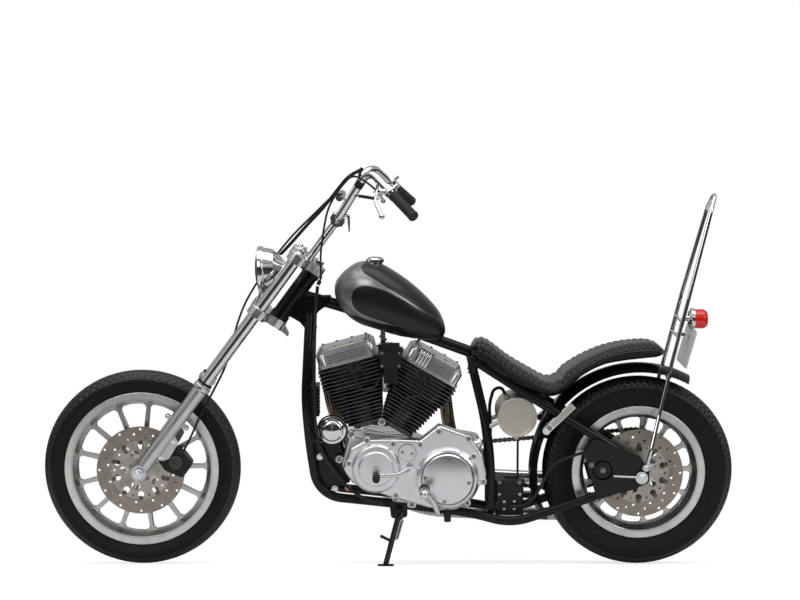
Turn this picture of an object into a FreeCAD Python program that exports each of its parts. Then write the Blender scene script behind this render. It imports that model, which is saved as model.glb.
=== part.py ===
import FreeCAD, Part
import math
import os
import re
import PartDesign
import Sketcher
from FreeCAD import Placement, Rotation, Vector

doc = FreeCAD.newDocument("Chopper")
sheet = doc.addObject("Spreadsheet::Sheet", "Sizes")

# Driving dimensions in millimetres and degrees, for the machine held upright. Heights run up from the
# ground, and distances ahead run from the rear axle, the crankshaft or the steering head, as named.
drivingDimensions = {
    "lean_angle": 11,
    "origin_ahead": 830,
    "origin_left": 181.542,
    # wheels
    "front_tyre_rad": 327,
    "front_tyre_half": 50,
    "front_crown_rad": 54,
    "front_rim_rad": 257,
    "front_rim_half": 34,
    "rear_tyre_rad": 317,
    "rear_tyre_half": 65,
    "rear_crown_rad": 78,
    "rear_rim_rad": 222,
    "rear_rim_half": 46,
    "tyre_wall_rad": 75,
    "rim_depth": 24,
    "rim_well": 10,
    "rim_wall": 7,
    "spoke_count": 13,
    "spoke_hub_half": 10,
    "spoke_rim_half": 7.5,
    "spoke_draft": 7,
    "web_hub_half": 20,
    "web_rim_half": 12,
    "spoke_flare": 13,
    "hub_rad": 42,
    "hub_half": 50,
    "hub_flange_rad": 68,
    "axle_rad": 10,
    "disc_rad": 146,
    "disc_band_bore": 100,
    "disc_bore": 27,
    "disc_thick": 5,
    "carrier_thick": 3,
    "disc_side": 61,
    "bearing_gap": 0.3,
    # fork
    "rake_angle": 36.4,
    "fork_offset": 68,
    "fork_half": 100,
    "neck_ahead": 322.5,
    "neck_height": 832.6,
    "neck_long": 185,
    "neck_rad": 29,
    "stanchion_rad": 20,
    "slider_rad": 24.5,
    "slider_long": 365,
    "slider_foot": 26,
    "collar_rad": 30,
    "stem_rad": 14,
    "clamp_thick": 32,
    "clamp_wall": 11,
    "clamp_gap": 1,
    "slide_gap": 0.1,
    "riser_long": 158,
    "riser_back": 34,
    "riser_half": 38,
    "riser_rad": 12.5,
    "bar_rad": 12.7,
    "bar_rise": 202,
    "bar_foot_half": 92,
    "bar_knee_half": 178,
    "bar_end_half": 372,
    "bar_sweep": 175,
    "bar_drop": 26,
    "grip_long": 120,
    "grip_rad": 16.5,
    "lamp_rad": 77,
    "lamp_deep": 88,
    "lamp_above": 140,
    "lamp_ahead": 78,
    # frame
    "frame_tube_rad": 15,
    "backbone_rad": 19,
    "cradle_half": 82,
    "rail_splay_half": 110,
    "axle_plate_half": 134,
    "plate_thick": 8,
    "tyre_box_gap": 64,
    "post_gap": 2,
    "junction_ahead": 68,
    "junction_height": 716,
    # engine
    "case_back": 357,
    "case_gap": 7,
    "case_half": 99,
    "crank_height": 350,
    "engine_pitch": 7.5,
    "vee_angle": 45,
    "deck_height": 136,
    "head_height": 352,
    "rocker_height": 56,
    "rocker_half": 98,
    "rocker_side_half": 86,
    "barrel_rad": 44,
    "fin_count": 16,
    "fin_thick": 2.8,
    "fin_half_low": 62,
    "fin_half_high": 92,
    "head_fin_half": 106,
    "fin_side_share": 0.85,
    "primary_face": 150,
    "clutch_rad": 85,
    "clutch_face": 176,
    "cam_face": 142,
    "pushrod_rad": 8.5,
    "plug_across": -13,
    "plug_drop": 22,
    "plug_end": 92,
    "lead_rad": 3.6,
    "pipe_rad": 22,
    "pipe_wall": 1.8,
    "pipe_long": 621,
    # tank, seat, oil tank and battery box
    "tank_start": 82,
    "tank_long": 366,
    "tank_half": 118,
    "cap_rad": 29,
    "seat_half": 128,
    "cushion_gap": 0.3,
    "oil_rad": 65,
    "oil_half": 96,
    "box_long": 94,
    "box_high": 118,
    "box_half": 60,
    # rear end and chain
    "fender_gap": 45,
    "fender_half": 76,
    "fender_sheet": 4,
    "sissy_rad": 6.5,
    "sissy_high": 917.5,
    "tail_lamp_rad": 32,
    "plate_wide": 230,
    "plate_high": 128,
    "sprocket_teeth": 48,
    "engine_teeth": 21,
    "chain_pitch": 15.875,
    "chain_half": 86,
    "chain_wide": 15,
    "sprocket_thick": 7,
    # controls and side stand
    "peg_rad": 16,
    "lever_rad": 7,
    "stand_leg_rad": 9,
    "stand_foot_out": 226,
}

for row, (alias, value) in enumerate(drivingDimensions.items(), start=1):
    sheet.set("A%d" % row, alias)
    sheet.set("B%d" % row, str(value))
    sheet.setAlias("B%d" % row, alias)
doc.recompute()


class SheetValues:
    def __getattr__(self, alias):
        return float(sheet.get(alias))


size = SheetValues()
aliasPattern = re.compile(r"\b(" + "|".join(sorted(drivingDimensions, key=len, reverse=True)) + r")\b")


def bound(text):
    return aliasPattern.sub(r"Sizes.\1", str(text))


def evaluated(text):
    return float(sheet.evalExpression(bound(text)))


# Places that the pieces hang on, all with the machine upright


def axleHeight(tyreRad, crownRad):
    # height at which a leaning tyre's round crown just meets the ground
    return tyreRad + crownRad * (1 / math.cos(math.radians(size.lean_angle)) - 1)


rearAxle = Vector(0, 0, axleHeight(size.rear_tyre_rad, size.rear_crown_rad))
boxBack = size.rear_tyre_rad + size.tyre_box_gap
postAhead = boxBack + size.box_long + size.post_gap + size.frame_tube_rad
crank = Vector(postAhead + size.frame_tube_rad + size.case_gap + size.case_back, 0, size.crank_height)
seatJunction = Vector(postAhead + size.junction_ahead, 0, size.junction_height)

rake = math.radians(size.rake_angle)
forkUp = Vector(-math.sin(rake), 0, math.cos(rake))
forkAhead = Vector(math.cos(rake), 0, math.sin(rake))
neckFoot = Vector(crank.x + size.neck_ahead, 0, size.neck_height)
frontAxleHeight = axleHeight(size.front_tyre_rad, size.front_crown_rad)
neckLow = (size.neck_height + size.fork_offset * math.sin(rake) - frontAxleHeight) / math.cos(rake)
neckHigh = neckLow + size.neck_long
forkOrigin = neckFoot - forkUp * neckLow
frontAxle = forkOrigin + forkAhead * size.fork_offset
forkFrame = Placement(forkOrigin, Rotation(Vector(0, 1, 0), -size.rake_angle))
crankFrame = Placement(crank, Rotation())
engineFrame = Placement(crank, Rotation(Vector(0, 1, 0), -size.engine_pitch))
axleFrame = Placement(rearAxle, Rotation())

# The machine stands on its wheels and its side stand, leaning to its left
lean = Placement(Vector(0, 0, 0), Rotation(Vector(1, 0, 0), -size.lean_angle))
lean.Base = Vector(-size.origin_ahead, -size.origin_left, 0)

subParts = []


def finish(piece, label, place=Placement()):
    piece.Label = label
    piece.Placement = lean.multiply(place)
    subParts.append(piece)
    return piece


# Sketches and bodies


def originPlane(body, role):
    return [feature for feature in body.Origin.OriginFeatures if feature.Role == role][0]


def drawOutline(sketch, corners):
    # a corner is (across, along), with a rounding radius after it where the corner is rounded off, or with
    # a radius and a side where an arc centred on that side leads to the next corner
    places = [Vector(evaluated(corner[0]), evaluated(corner[1]), 0) for corner in corners]
    count = len(corners)
    starts = [1] * count
    ends = [2] * count
    for index, corner in enumerate(corners):
        here = places[index]
        there = places[(index + 1) % count]
        if len(corner) == 4:
            radius = evaluated(corner[2])
            middle = (here + there) * 0.5
            chord = there - here
            inward = Vector(-chord.y, chord.x, 0).normalize()
            if corner[3] == "right":
                inward = inward * -1
            centre = middle + inward * math.sqrt(radius**2 - (chord.Length / 2) ** 2)
            edge = Part.Arc(here, centre - inward * radius, there)
        else:
            edge = Part.LineSegment(here, there)
        sketch.addGeometry(edge)
        if sketch.Geometry[index].StartPoint.distanceToPoint(here) > 1e-5:
            starts[index] = 2
            ends[index] = 1
    for index in range(count):
        following = (index + 1) % count
        meeting = Sketcher.Constraint("Coincident", index, ends[index], following, starts[following])
        sketch.addConstraint(meeting)
    for index, corner in enumerate(corners):
        here = places[index]
        for kind, value, expression in (("DistanceX", here.x, corner[0]), ("DistanceY", here.y, corner[1])):
            number = sketch.addConstraint(Sketcher.Constraint(kind, -1, 1, index, starts[index], value))
            sketch.setExpression("Constraints[%d]" % number, bound(expression))
        if len(corner) == 4:
            bindRadius(sketch, index, corner[2])
    for index, corner in enumerate(corners):
        if len(corner) == 3:
            before = (index - 1) % count
            known = len(sketch.Geometry)
            sketch.fillet(before, ends[before], evaluated(corner[2]), True, True)
            for added in range(known, len(sketch.Geometry)):
                if isinstance(sketch.Geometry[added], Part.ArcOfCircle):
                    bindRadius(sketch, added, corner[2])


def bindRadius(sketch, index, radiusText):
    number = sketch.addConstraint(Sketcher.Constraint("Radius", index, evaluated(radiusText)))
    sketch.setExpression("Constraints[%d]" % number, bound(radiusText))


def attachedSketch(body, role, name):
    sketch = body.newObject("Sketcher::SketchObject", name)
    sketch.AttachmentSupport = [(originPlane(body, role), "")]
    sketch.MapMode = "FlatFace"
    doc.recompute()
    return sketch


def outlineSketch(body, role, corners, name="Outline"):
    sketch = attachedSketch(body, role, name)
    drawOutline(sketch, corners)
    return sketch


def circleSketch(body, role, circles, name="Holes"):
    # circles given as (across, along, radius)
    sketch = attachedSketch(body, role, name)
    for across, along, radius in circles:
        centre = Vector(evaluated(across), evaluated(along), 0)
        index = sketch.addGeometry(Part.Circle(centre, Vector(0, 0, 1), evaluated(radius)))
        for kind, value, expression in (("DistanceX", centre.x, across), ("DistanceY", centre.y, along)):
            number = sketch.addConstraint(Sketcher.Constraint(kind, -1, 1, index, 3, value))
            sketch.setExpression("Constraints[%d]" % number, bound(expression))
        bindRadius(sketch, index, radius)
    return sketch


def turnedBody(label, corners):
    # a profile of (radius, distance along the axis) turned about its own Y axis
    body = doc.addObject("PartDesign::Body", label + "_turning")
    revolution = body.newObject("PartDesign::Revolution", "Turned")
    revolution.Profile = outlineSketch(body, "XY_Plane", corners)
    revolution.ReferenceAxis = (revolution.Profile[0], ["V_Axis"])
    revolution.Angle = 360
    return body


def sideBody(label, corners, start, end, softened=None, softenedFace=None):
    # a side view of (ahead, up), solid between two distances to the left, with one face's rim rounded off
    body = doc.addObject("PartDesign::Body", label + "_plate")
    sketch = outlineSketch(body, "XZ_Plane", corners)
    sketch.setExpression("AttachmentOffset.Base.z", bound("-(%s)" % end))
    pad = body.newObject("PartDesign::Pad", "Pad")
    pad.Profile = sketch
    pad.setExpression("Length", bound("(%s) - (%s)" % (end, start)))
    if softened:
        softenRim(body, pad, softened, Vector(0, 1, 0), evaluated(softenedFace or end))
    return body


def planBody(label, corners, start, end, softened=None):
    # a plan view of (ahead, left), solid between two heights, with the top rim rounded off
    body = doc.addObject("PartDesign::Body", label + "_plate")
    sketch = outlineSketch(body, "XY_Plane", corners)
    sketch.setExpression("AttachmentOffset.Base.z", bound(start))
    pad = body.newObject("PartDesign::Pad", "Pad")
    pad.Profile = sketch
    pad.setExpression("Length", bound("(%s) - (%s)" % (end, start)))
    if softened:
        softenRim(body, pad, softened, Vector(0, 0, 1), evaluated(end))
    return body


def softenRim(body, feature, radiusText, direction, level):
    doc.recompute()
    names = []
    for number, edge in enumerate(feature.Shape.Edges, start=1):
        reaches = [point.dot(direction) for point in edge.discretize(4)]
        if max(abs(reach - level) for reach in reaches) < 1e-4:
            names.append("Edge%d" % number)
    fillet = body.newObject("PartDesign::Fillet", "Softened")
    fillet.Base = (feature, names)
    fillet.setExpression("Radius", bound(radiusText))
    return fillet


def roundPattern(body, circles, count, name):
    # holes cut through a wheel-like body and repeated round its axis
    sketch = circleSketch(body, "XZ_Plane", circles, name + "Sketch")
    pocket = body.newObject("PartDesign::Pocket", name)
    pocket.Profile = sketch
    pocket.Type = "ThroughAll"
    pocket.SideType = "Symmetric"
    pattern = body.newObject("PartDesign::PolarPattern", name + "Pattern")
    pattern.Originals = [pocket]
    pattern.Axis = (sketch, ["N_Axis"])
    pattern.Angle = 360
    pattern.Occurrences = count
    body.Tip = pattern
    return pattern


# Swept tubes


def arcPath(points, bendRadius=None):
    # straight runs joined by tangent arcs
    points = [Vector(*point) for point in points]
    edges = []
    start = points[0]
    for index in range(1, len(points) - 1):
        corner = points[index]
        back = points[index - 1] - corner
        ahead = points[index + 1] - corner
        turn = math.pi - back.getAngle(ahead)
        setback = 0.45 * min(back.Length, ahead.Length)
        if bendRadius:
            setback = min(setback, bendRadius * math.tan(turn / 2))
        radius = setback / math.tan(turn / 2)
        back.normalize()
        ahead.normalize()
        into = corner + back * setback
        out = corner + ahead * setback
        centre = corner + (back + ahead).normalize() * (radius / math.cos(turn / 2))
        middle = centre + (corner - centre).normalize() * radius
        edges.append(Part.LineSegment(start, into).toShape())
        edges.append(Part.Arc(into, middle, out).toShape())
        start = out
    edges.append(Part.LineSegment(start, points[-1]).toShape())
    return Part.Wire(edges)


def tubeShape(points, radius, bendRadius=None):
    path = arcPath(points, bendRadius)
    start = Vector(*points[0])
    along = (Vector(*points[1]) - start).normalize()
    section = Part.Wire([Part.makeCircle(radius, start, along)])
    solid = path.makePipeShell([section], True, False)
    wanted = math.pi * radius**2 * path.Length
    if abs(solid.Volume - wanted) > 0.02 * wanted:
        raise RuntimeError("a tube from %s has the wrong volume" % start)
    return solid


def sweptTube(label, points, radiusText, bendRadius=None):
    path = doc.addObject("Part::Feature", label + "_path")
    path.Shape = arcPath(points, bendRadius)
    start = Vector(*points[0])
    section = doc.addObject("Part::Circle", label + "_section")
    section.setExpression("Radius", bound(radiusText))
    section.Placement = Placement(start, Rotation(Vector(0, 0, 1), Vector(*points[1]) - start))
    sweep = doc.addObject("Part::Sweep", label + "_sweep")
    sweep.Sections = [section]
    sweep.Spine = (path, ["Edge%d" % (number + 1) for number in range(len(path.Shape.Edges))])
    sweep.Solid = True
    return sweep


# Joining and repeating


def shapedFeature(label, shape):
    feature = doc.addObject("Part::Feature", label)
    feature.Shape = shape
    return feature


def shaped(label, shape, place=Placement()):
    return finish(shapedFeature(label + "_shape", shape), label, place.multiply(shape.Placement))


def cutObject(label, base, tool):
    cut = doc.addObject("Part::Cut", label)
    cut.Base = base
    cut.Tool = tool
    return cut


def fusedObject(label, pieces):
    fusion = doc.addObject("Part::MultiFuse", label)
    fusion.Shapes = pieces
    fusion.Refine = True
    return fusion


def together(label, pieces):
    compound = doc.addObject("Part::Compound", label)
    compound.Links = pieces
    return compound


def mirrorObject(label, piece):
    mirror = doc.addObject("Part::Mirroring", label)
    mirror.Source = piece
    mirror.Normal = Vector(0, 1, 0)
    return mirror


def pair(label, leftPiece, place=Placement()):
    # a left piece and its mirror image on the right
    both = together(label + "_pair", [leftPiece, mirrorObject(label + "_right", leftPiece)])
    return finish(both, label, place)


def rod(start, end, radius):
    start = Vector(*start)
    along = Vector(*end) - start
    return Part.makeCylinder(radius, along.Length, start, along)


def block(low, high):
    low = Vector(*low)
    spread = Vector(*high) - low
    return Part.makeBox(spread.x, spread.y, spread.z, low)


def joined(first, *others):
    return first.fuse(list(others)).removeSplitter()


def mirrored(shape):
    return shape.mirror(Vector(0, 0, 0), Vector(0, 1, 0))


def turnedTo(direction):
    # turns a body's own Y axis to a direction
    return Rotation(Vector(0, 1, 0), Vector(*direction))


def spot(base, *offset):
    return tuple(base + Vector(*offset))


# Wheels


def tyreOutline(rad, crown, half, rimRad, rimHalf):
    shoulder = "(%s - %s + sqrt(%s ^ 2 - %s ^ 2))" % (rad, crown, crown, half)
    bead = "%s - rim_depth" % rimRad
    return [
        (bead, "-%s" % rimHalf),
        (rimRad, "-%s" % rimHalf, "tyre_wall_rad", "left"),
        (shoulder, "-%s" % half, crown, "left"),
        (shoulder, half, "tyre_wall_rad", "left"),
        (rimRad, rimHalf),
        (bead, rimHalf),
    ]


def castWheel(label, rimRad, rimHalf, centre, phase):
    seat = "(%s - rim_depth)" % rimRad
    well = "(%s - rim_well)" % seat
    inner = "(%s - rim_wall)" % well
    lip = "(%s + rim_wall)" % rimHalf
    flangeSide = "disc_side - carrier_thick / 2"
    bore = "axle_rad + bearing_gap"
    body = turnedBody(
        label,
        [
            (bore, "-hub_half"),
            ("hub_rad", "-hub_half", 4),
            ("hub_rad", "-web_hub_half"),
            (inner, "-web_rim_half"),
            (inner, "-0.5 * %s" % rimHalf, 5),
            (seat + " - 3", "-" + lip, 3),
            (rimRad, "-" + lip, 3),
            (rimRad, "-" + rimHalf),
            (seat, "-" + rimHalf),
            (seat, "-0.66 * %s" % rimHalf),
            (well, "-0.5 * %s" % rimHalf),
            (well, "0.5 * %s" % rimHalf),
            (seat, "0.66 * %s" % rimHalf),
            (seat, rimHalf),
            (rimRad, rimHalf),
            (rimRad, lip, 3),
            (seat + " - 3", lip, 3),
            (inner, "0.5 * %s" % rimHalf, 5),
            (inner, "web_rim_half"),
            ("hub_rad", "web_hub_half"),
            ("hub_rad", "hub_half - 16"),
            ("hub_flange_rad", "hub_half - 4", 3),
            ("hub_flange_rad", flangeSide),
            (bore, flangeSide),
        ],
    )
    # one gap between two spokes, cut with draft and repeated round the wheel
    turn = "360 / spoke_count"
    nearHub = "(hub_rad + 15)"
    nearRim = "(%s - 2)" % inner
    gap = outlineSketch(
        body,
        "XZ_Plane",
        [
            (nearHub, "spoke_hub_half", 3),
            (nearRim, "spoke_rim_half", "spoke_flare"),
            ("(%s - 1) * cos(%s / 2)" % (inner, turn), "(%s - 1) * sin(%s / 2)" % (inner, turn), 60),
            (
                "%s * cos(%s) + spoke_rim_half * sin(%s)" % (nearRim, turn, turn),
                "%s * sin(%s) - spoke_rim_half * cos(%s)" % (nearRim, turn, turn),
                "spoke_flare",
            ),
            (
                "%s * cos(%s) + spoke_hub_half * sin(%s)" % (nearHub, turn, turn),
                "%s * sin(%s) - spoke_hub_half * cos(%s)" % (nearHub, turn, turn),
                3,
            ),
        ],
        "Gap",
    )
    pocket = body.newObject("PartDesign::Pocket", "SpokeGap")
    pocket.Profile = gap
    pocket.SideType = "Two sides"
    for side in ("", "2"):
        pocket.setExpression("Length" + side, bound("hub_half + 10"))
        pocket.setExpression("TaperAngle" + side, bound("spoke_draft"))
    pattern = body.newObject("PartDesign::PolarPattern", "SpokeGaps")
    pattern.Originals = [pocket]
    pattern.Axis = (gap, ["N_Axis"])
    pattern.Angle = 360
    pattern.Occurrences = int(size.spoke_count)
    body.Tip = pattern
    return finish(body, label, Placement(centre, Rotation(Vector(0, 1, 0), -phase)))


def brakeDisc(label, centre):
    body = turnedBody(
        label,
        [
            ("disc_bore", "disc_side - carrier_thick / 2"),
            ("disc_band_bore", "disc_side - carrier_thick / 2"),
            ("disc_band_bore", "disc_side - disc_thick / 2"),
            ("disc_rad", "disc_side - disc_thick / 2"),
            ("disc_rad", "disc_side + disc_thick / 2"),
            ("disc_band_bore", "disc_side + disc_thick / 2"),
            ("disc_band_bore", "disc_side + carrier_thick / 2"),
            ("disc_bore", "disc_side + carrier_thick / 2"),
        ],
    )
    roundPattern(body, [("54", 0, 14.5)], 5, "LighteningHoles")
    roundPattern(body, [("81 * cos(18)", "81 * sin(18)", 10.5), (87, 0, 3.5)], 10, "CarrierHoles")
    drilled = [
        ("disc_rad - 9", 0, 4.2),
        ("(disc_rad - 24) * cos(20)", "(disc_rad - 24) * sin(20)", 4.2),
        ("(disc_rad - 37) * cos(9)", "(disc_rad - 37) * sin(9)", 4.2),
    ]
    roundPattern(body, drilled, 12, "BandHoles")
    return finish(body, label, Placement(centre, Rotation()))


frontTyre = tyreOutline(
    "front_tyre_rad",
    "front_crown_rad",
    "front_tyre_half",
    "front_rim_rad",
    "front_rim_half",
)
rearTyre = tyreOutline("rear_tyre_rad", "rear_crown_rad", "rear_tyre_half", "rear_rim_rad", "rear_rim_half")
finish(turnedBody("front_tyre", frontTyre), "front_tyre", Placement(frontAxle, Rotation()))
finish(turnedBody("rear_tyre", rearTyre), "rear_tyre", axleFrame)
castWheel("front_wheel", "front_rim_rad", "front_rim_half", frontAxle, 12.9)
castWheel("rear_wheel", "rear_rim_rad", "rear_rim_half", rearAxle, 12.9)
brakeDisc("front_disc", frontAxle)
brakeDisc("rear_disc", rearAxle)

# Steered fork, drawn upright along its own tubes with the steering axis as its middle

upperClampLow = neckHigh + size.clamp_gap
lowerClampLow = neckLow - size.clamp_gap - size.clamp_thick
upperClampTop = upperClampLow + size.clamp_thick
axleEnd = size.fork_half + size.slider_rad + 8

sliderTurning = turnedBody(
    "fork_slider",
    [
        (0, "-slider_foot"),
        ("slider_rad - 3", "-slider_foot", 4),
        ("slider_rad - 1", 60),
        ("slider_rad", 90),
        ("slider_rad", "slider_long - 26"),
        ("collar_rad", "slider_long - 20", 3),
        ("collar_rad", "slider_long - 7", 3),
        ("slider_rad + 1", "slider_long - 4"),
        ("slider_rad + 1", "slider_long"),
        (0, "slider_long"),
    ],
)
sliderTurning.Placement = Placement(Vector(size.fork_offset, size.fork_half, 0), turnedTo((0, 0, 1)))
sliderEye = shapedFeature(
    "slider_eye",
    rod(
        (size.fork_offset, size.fork_half - size.slider_rad, 0),
        (size.fork_offset, size.fork_half + size.slider_rad, 0),
        size.slider_foot,
    ),
)
caliperLugSide = size.fork_half - 6
caliperLug = sideBody(
    "caliper_lug",
    [(64, 64), (28, 78, 8), (16, 96, 8), (22, 156, 8), (64, 176)],
    caliperLugSide,
    caliperLugSide + 12,
)
fenderTab = shapedFeature(
    "fender_tabs",
    joined(
        rod(
            (size.fork_offset - 38, size.fork_half - 4, 212),
            (size.fork_offset - 38, size.fork_half + 4, 212),
            9,
        ),
        block((size.fork_offset - 38, size.fork_half - 4, 204), (size.fork_offset, size.fork_half + 4, 220)),
        rod(
            (size.fork_offset + 34, size.fork_half - 4, 208),
            (size.fork_offset + 34, size.fork_half + 4, 208),
            9,
        ),
        block((size.fork_offset, size.fork_half - 4, 200), (size.fork_offset + 34, size.fork_half + 4, 216)),
    ),
)
axleBore = rod((size.fork_offset, 0, 0), (size.fork_offset, 200, 0), size.axle_rad + size.slide_gap)
slider = cutObject(
    "fork_slider_bored",
    fusedObject("fork_slider_cast", [sliderTurning, sliderEye, caliperLug, fenderTab]),
    shapedFeature("slider_axle_bore", axleBore),
)
pair("fork_sliders", slider, forkFrame)

stanchion = turnedBody(
    "fork_tube",
    [
        (0, "slider_long"),
        ("stanchion_rad", "slider_long"),
        ("stanchion_rad", upperClampTop + 3, 2),
        ("stanchion_rad - 5", upperClampTop + 7, 2),
        (0, upperClampTop + 7),
    ],
)
stanchion.Placement = Placement(Vector(size.fork_offset, size.fork_half, 0), turnedTo((0, 0, 1)))
pair("fork_tubes", stanchion, forkFrame)

axleShape = rod((size.fork_offset, -axleEnd, 0), (size.fork_offset, axleEnd, 0), size.axle_rad)
for side in (1, -1):
    nut = rod((size.fork_offset, side * (axleEnd - 8), 0), (size.fork_offset, side * (axleEnd + 4), 0), 17)
    hollow = rod(
        (size.fork_offset, side * (axleEnd - 18), 0),
        (size.fork_offset, side * (axleEnd + 5), 0),
        6.5,
    )
    axleShape = axleShape.fuse(nut).cut(hollow)
shaped("front_axle", axleShape, forkFrame)


def clampPiece(label, low, stemHole):
    bossOuter = "(fork_half + stanchion_rad + clamp_wall)"
    bossFront = "(fork_offset + stanchion_rad + clamp_wall)"
    bossBack = "(fork_offset - stanchion_rad - clamp_wall)"
    left = [
        ("0.7 * fork_offset", "0.4 * fork_half", 20),
        (bossFront, "0.68 * fork_half", 20),
        (bossFront, bossOuter, 28),
        (bossBack, bossOuter, 24),
        (bossBack + " - 8", "0.62 * fork_half", 20),
        ("-0.2 * neck_rad", "1.2 * neck_rad", 16),
        ("-1.15 * neck_rad", "0.9 * neck_rad", 20),
    ]
    right = [(ahead, "-(%s)" % across, rounding) for ahead, across, rounding in reversed(left)]
    body = planBody(label, left + right, low, low + size.clamp_thick, 3)
    holes = [
        (size.fork_offset, side * size.fork_half, size.stanchion_rad + size.slide_gap) for side in (1, -1)
    ]
    tools = []
    for ahead, across, radius in holes:
        tools.append(Part.makeCylinder(radius, 60, Vector(ahead, across, low - 10)))
    if stemHole:
        tools.append(Part.makeCylinder(stemHole, 60, Vector(0, 0, low - 10)))
    for side in (1, -1):
        # the saw cut that lets the pinch bolt close the boss on its tube
        tools.append(
            block(
                (size.fork_offset - 60, side * size.fork_half - 1.2, low - 1),
                (
                    size.fork_offset - size.stanchion_rad,
                    side * size.fork_half + 1.2,
                    low + size.clamp_thick + 1,
                ),
            )
        )
    return cutObject(label + "_bored", body, shapedFeature(label + "_holes", Part.makeCompound(tools)))


stemTop = upperClampTop + 14
stem = Part.makeCylinder(size.stem_rad, stemTop - lowerClampLow, Vector(0, 0, lowerClampLow))
lampBase = Vector(size.lamp_ahead, 0, neckLow + size.lamp_above)
lampPlace = Placement(
    forkFrame.multVec(lampBase), Rotation(Vector(0, 1, 0), Vector(1, 0, -0.04))
)
lampFoot = forkFrame.inverse().multVec(lampPlace.multVec(Vector(0, 0.55 * size.lamp_deep, 0)))
stopLug = sideBody("steering_stop", [(-20, 2), (-20, 30), (-60, 8, 4), (-64, -2, 3), (-40, 0)], -14, 14)
stopLug.Placement = Placement(Vector(0, 0, lowerClampLow), Rotation())
bracketFoot = Vector(0.7 * size.fork_offset, 0, lowerClampLow + size.clamp_thick / 2)
lowerClamp = fusedObject(
    "lower_clamp_with_stem",
    [
        clampPiece("lower_clamp", lowerClampLow, None),
        shapedFeature("steering_stem", stem),
        stopLug,
    ],
)
finish(lowerClamp, "lower_clamp", forkFrame)
finish(clampPiece("upper_clamp", upperClampLow, size.stem_rad + size.slide_gap), "upper_clamp", forkFrame)

barFoot = Vector(size.riser_back, 0, upperClampTop + size.riser_long)
barKneeHeight = barFoot.z + size.bar_rise
barEnd = Vector(barFoot.x - size.bar_sweep, size.bar_end_half, barKneeHeight - size.bar_drop)
barKnee = Vector(barFoot.x + 18, size.bar_knee_half, barKneeHeight)
barLeft = [
    tuple(barEnd),
    tuple(barKnee),
    (barFoot.x, size.bar_foot_half, barFoot.z),
]
barPoints = barLeft + [(ahead, -left, up) for ahead, left, up in reversed(barLeft)]
finish(sweptTube("handlebar", barPoints, "bar_rad", 55), "handlebar", forkFrame)

risers = []
for side in (1, -1):
    across = side * size.riser_half
    post = rod((barFoot.x, across, upperClampTop + 0.05), (barFoot.x, across, barFoot.z), size.riser_rad)
    foot = rod(
        (barFoot.x, across, upperClampTop + 0.05),
        (barFoot.x, across, upperClampTop + 10),
        size.riser_rad + 4,
    )
    grasp = rod((barFoot.x, across - 14, barFoot.z), (barFoot.x, across + 14, barFoot.z), size.bar_rad + 9)
    cap = block((barFoot.x - 24, across - 13, barFoot.z - 9), (barFoot.x + 24, across + 13, barFoot.z + 9))
    risers.append(joined(post, foot, grasp, cap))
barHole = rod((barFoot.x, -80, barFoot.z), (barFoot.x, 80, barFoot.z), size.bar_rad + size.slide_gap)
shaped("bar_risers", Part.makeCompound([riser.cut(barHole) for riser in risers]), forkFrame)

gripAlong = (barKnee - barEnd).normalize()
gripTurning = turnedBody(
    "grip",
    [
        ("bar_rad + slide_gap", -0.4),
        (0, -0.4),
        (0, -6),
        ("grip_rad - 3", -6, 2),
        ("grip_rad + 1", -1, 2),
        ("grip_rad", 8),
        ("grip_rad", "grip_long - 6"),
        ("grip_rad + 2", "grip_long - 4", 1),
        ("grip_rad + 2", "grip_long", 1),
        ("bar_rad + slide_gap", "grip_long"),
    ],
)
gripTurning.Placement = Placement(barEnd, turnedTo(gripAlong))
pair("grips", gripTurning, forkFrame)

leverPivot = barEnd + gripAlong * (size.grip_long + 26) + Vector(28, 17, -24)
leverTip = Vector(barEnd.x + 78, barEnd.y + 12, barEnd.z - 58)
perchStart = barEnd + gripAlong * (size.grip_long + 8)
perchEnd = barEnd + gripAlong * (size.grip_long + 34)
perchMiddle = (perchStart + perchEnd) * 0.5
leverBend = leverPivot + (leverTip - leverPivot) * 0.45 + Vector(16, 0, -4)
control = joined(
    rod(perchStart, perchEnd, size.bar_rad + 7),
    rod(perchMiddle, leverPivot, 9),
    rod(leverPivot + Vector(0, 0, -9), leverPivot + Vector(0, 0, 9), 11),
    tubeShape([tuple(leverPivot), tuple(leverBend), tuple(leverTip)], 5.5),
    Part.makeSphere(9, leverTip),
    rod(perchMiddle, perchMiddle + Vector(-8, 4, 34), 8),
)
control = control.cut(rod(barEnd, barEnd + gripAlong * 200, size.bar_rad + size.slide_gap))
pair("hand_controls", shapedFeature("lever_and_perch", control), forkFrame)

lampOuter = turnedBody(
    "headlight",
    [
        (0, 0),
        ("lamp_rad * 0.4", 0),
        ("lamp_rad * 0.86", "lamp_deep * 0.4", "lamp_rad * 1.6", "left"),
        ("lamp_rad - 4", "lamp_deep * 0.76"),
        ("lamp_rad", "lamp_deep * 0.78"),
        ("lamp_rad", "lamp_deep * 0.98"),
        ("lamp_rad - 5", "lamp_deep"),
        ("lamp_rad - 7", "lamp_deep * 0.9"),
        (0, "lamp_deep * 0.9"),
    ],
)
finish(
    turnedBody(
        "headlight_lens",
        [
            (0, "lamp_deep * 0.9 + 0.05"),
            ("lamp_rad - 7.2", "lamp_deep * 0.9 + 0.05"),
            ("lamp_rad - 7.2", "lamp_deep * 0.96", "lamp_rad * 2.6", "left"),
            (3, "lamp_deep + 10"),
            (0, "lamp_deep + 10"),
        ],
    ),
    "headlight_lens",
    lampPlace,
)
lampTurn = lampPlace.inverse().multiply(forkFrame)
stalk = tubeShape([spot(bracketFoot, 2, 0, 0), spot(bracketFoot, 34, 0, 6), tuple(lampFoot)], 8, 24)
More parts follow.
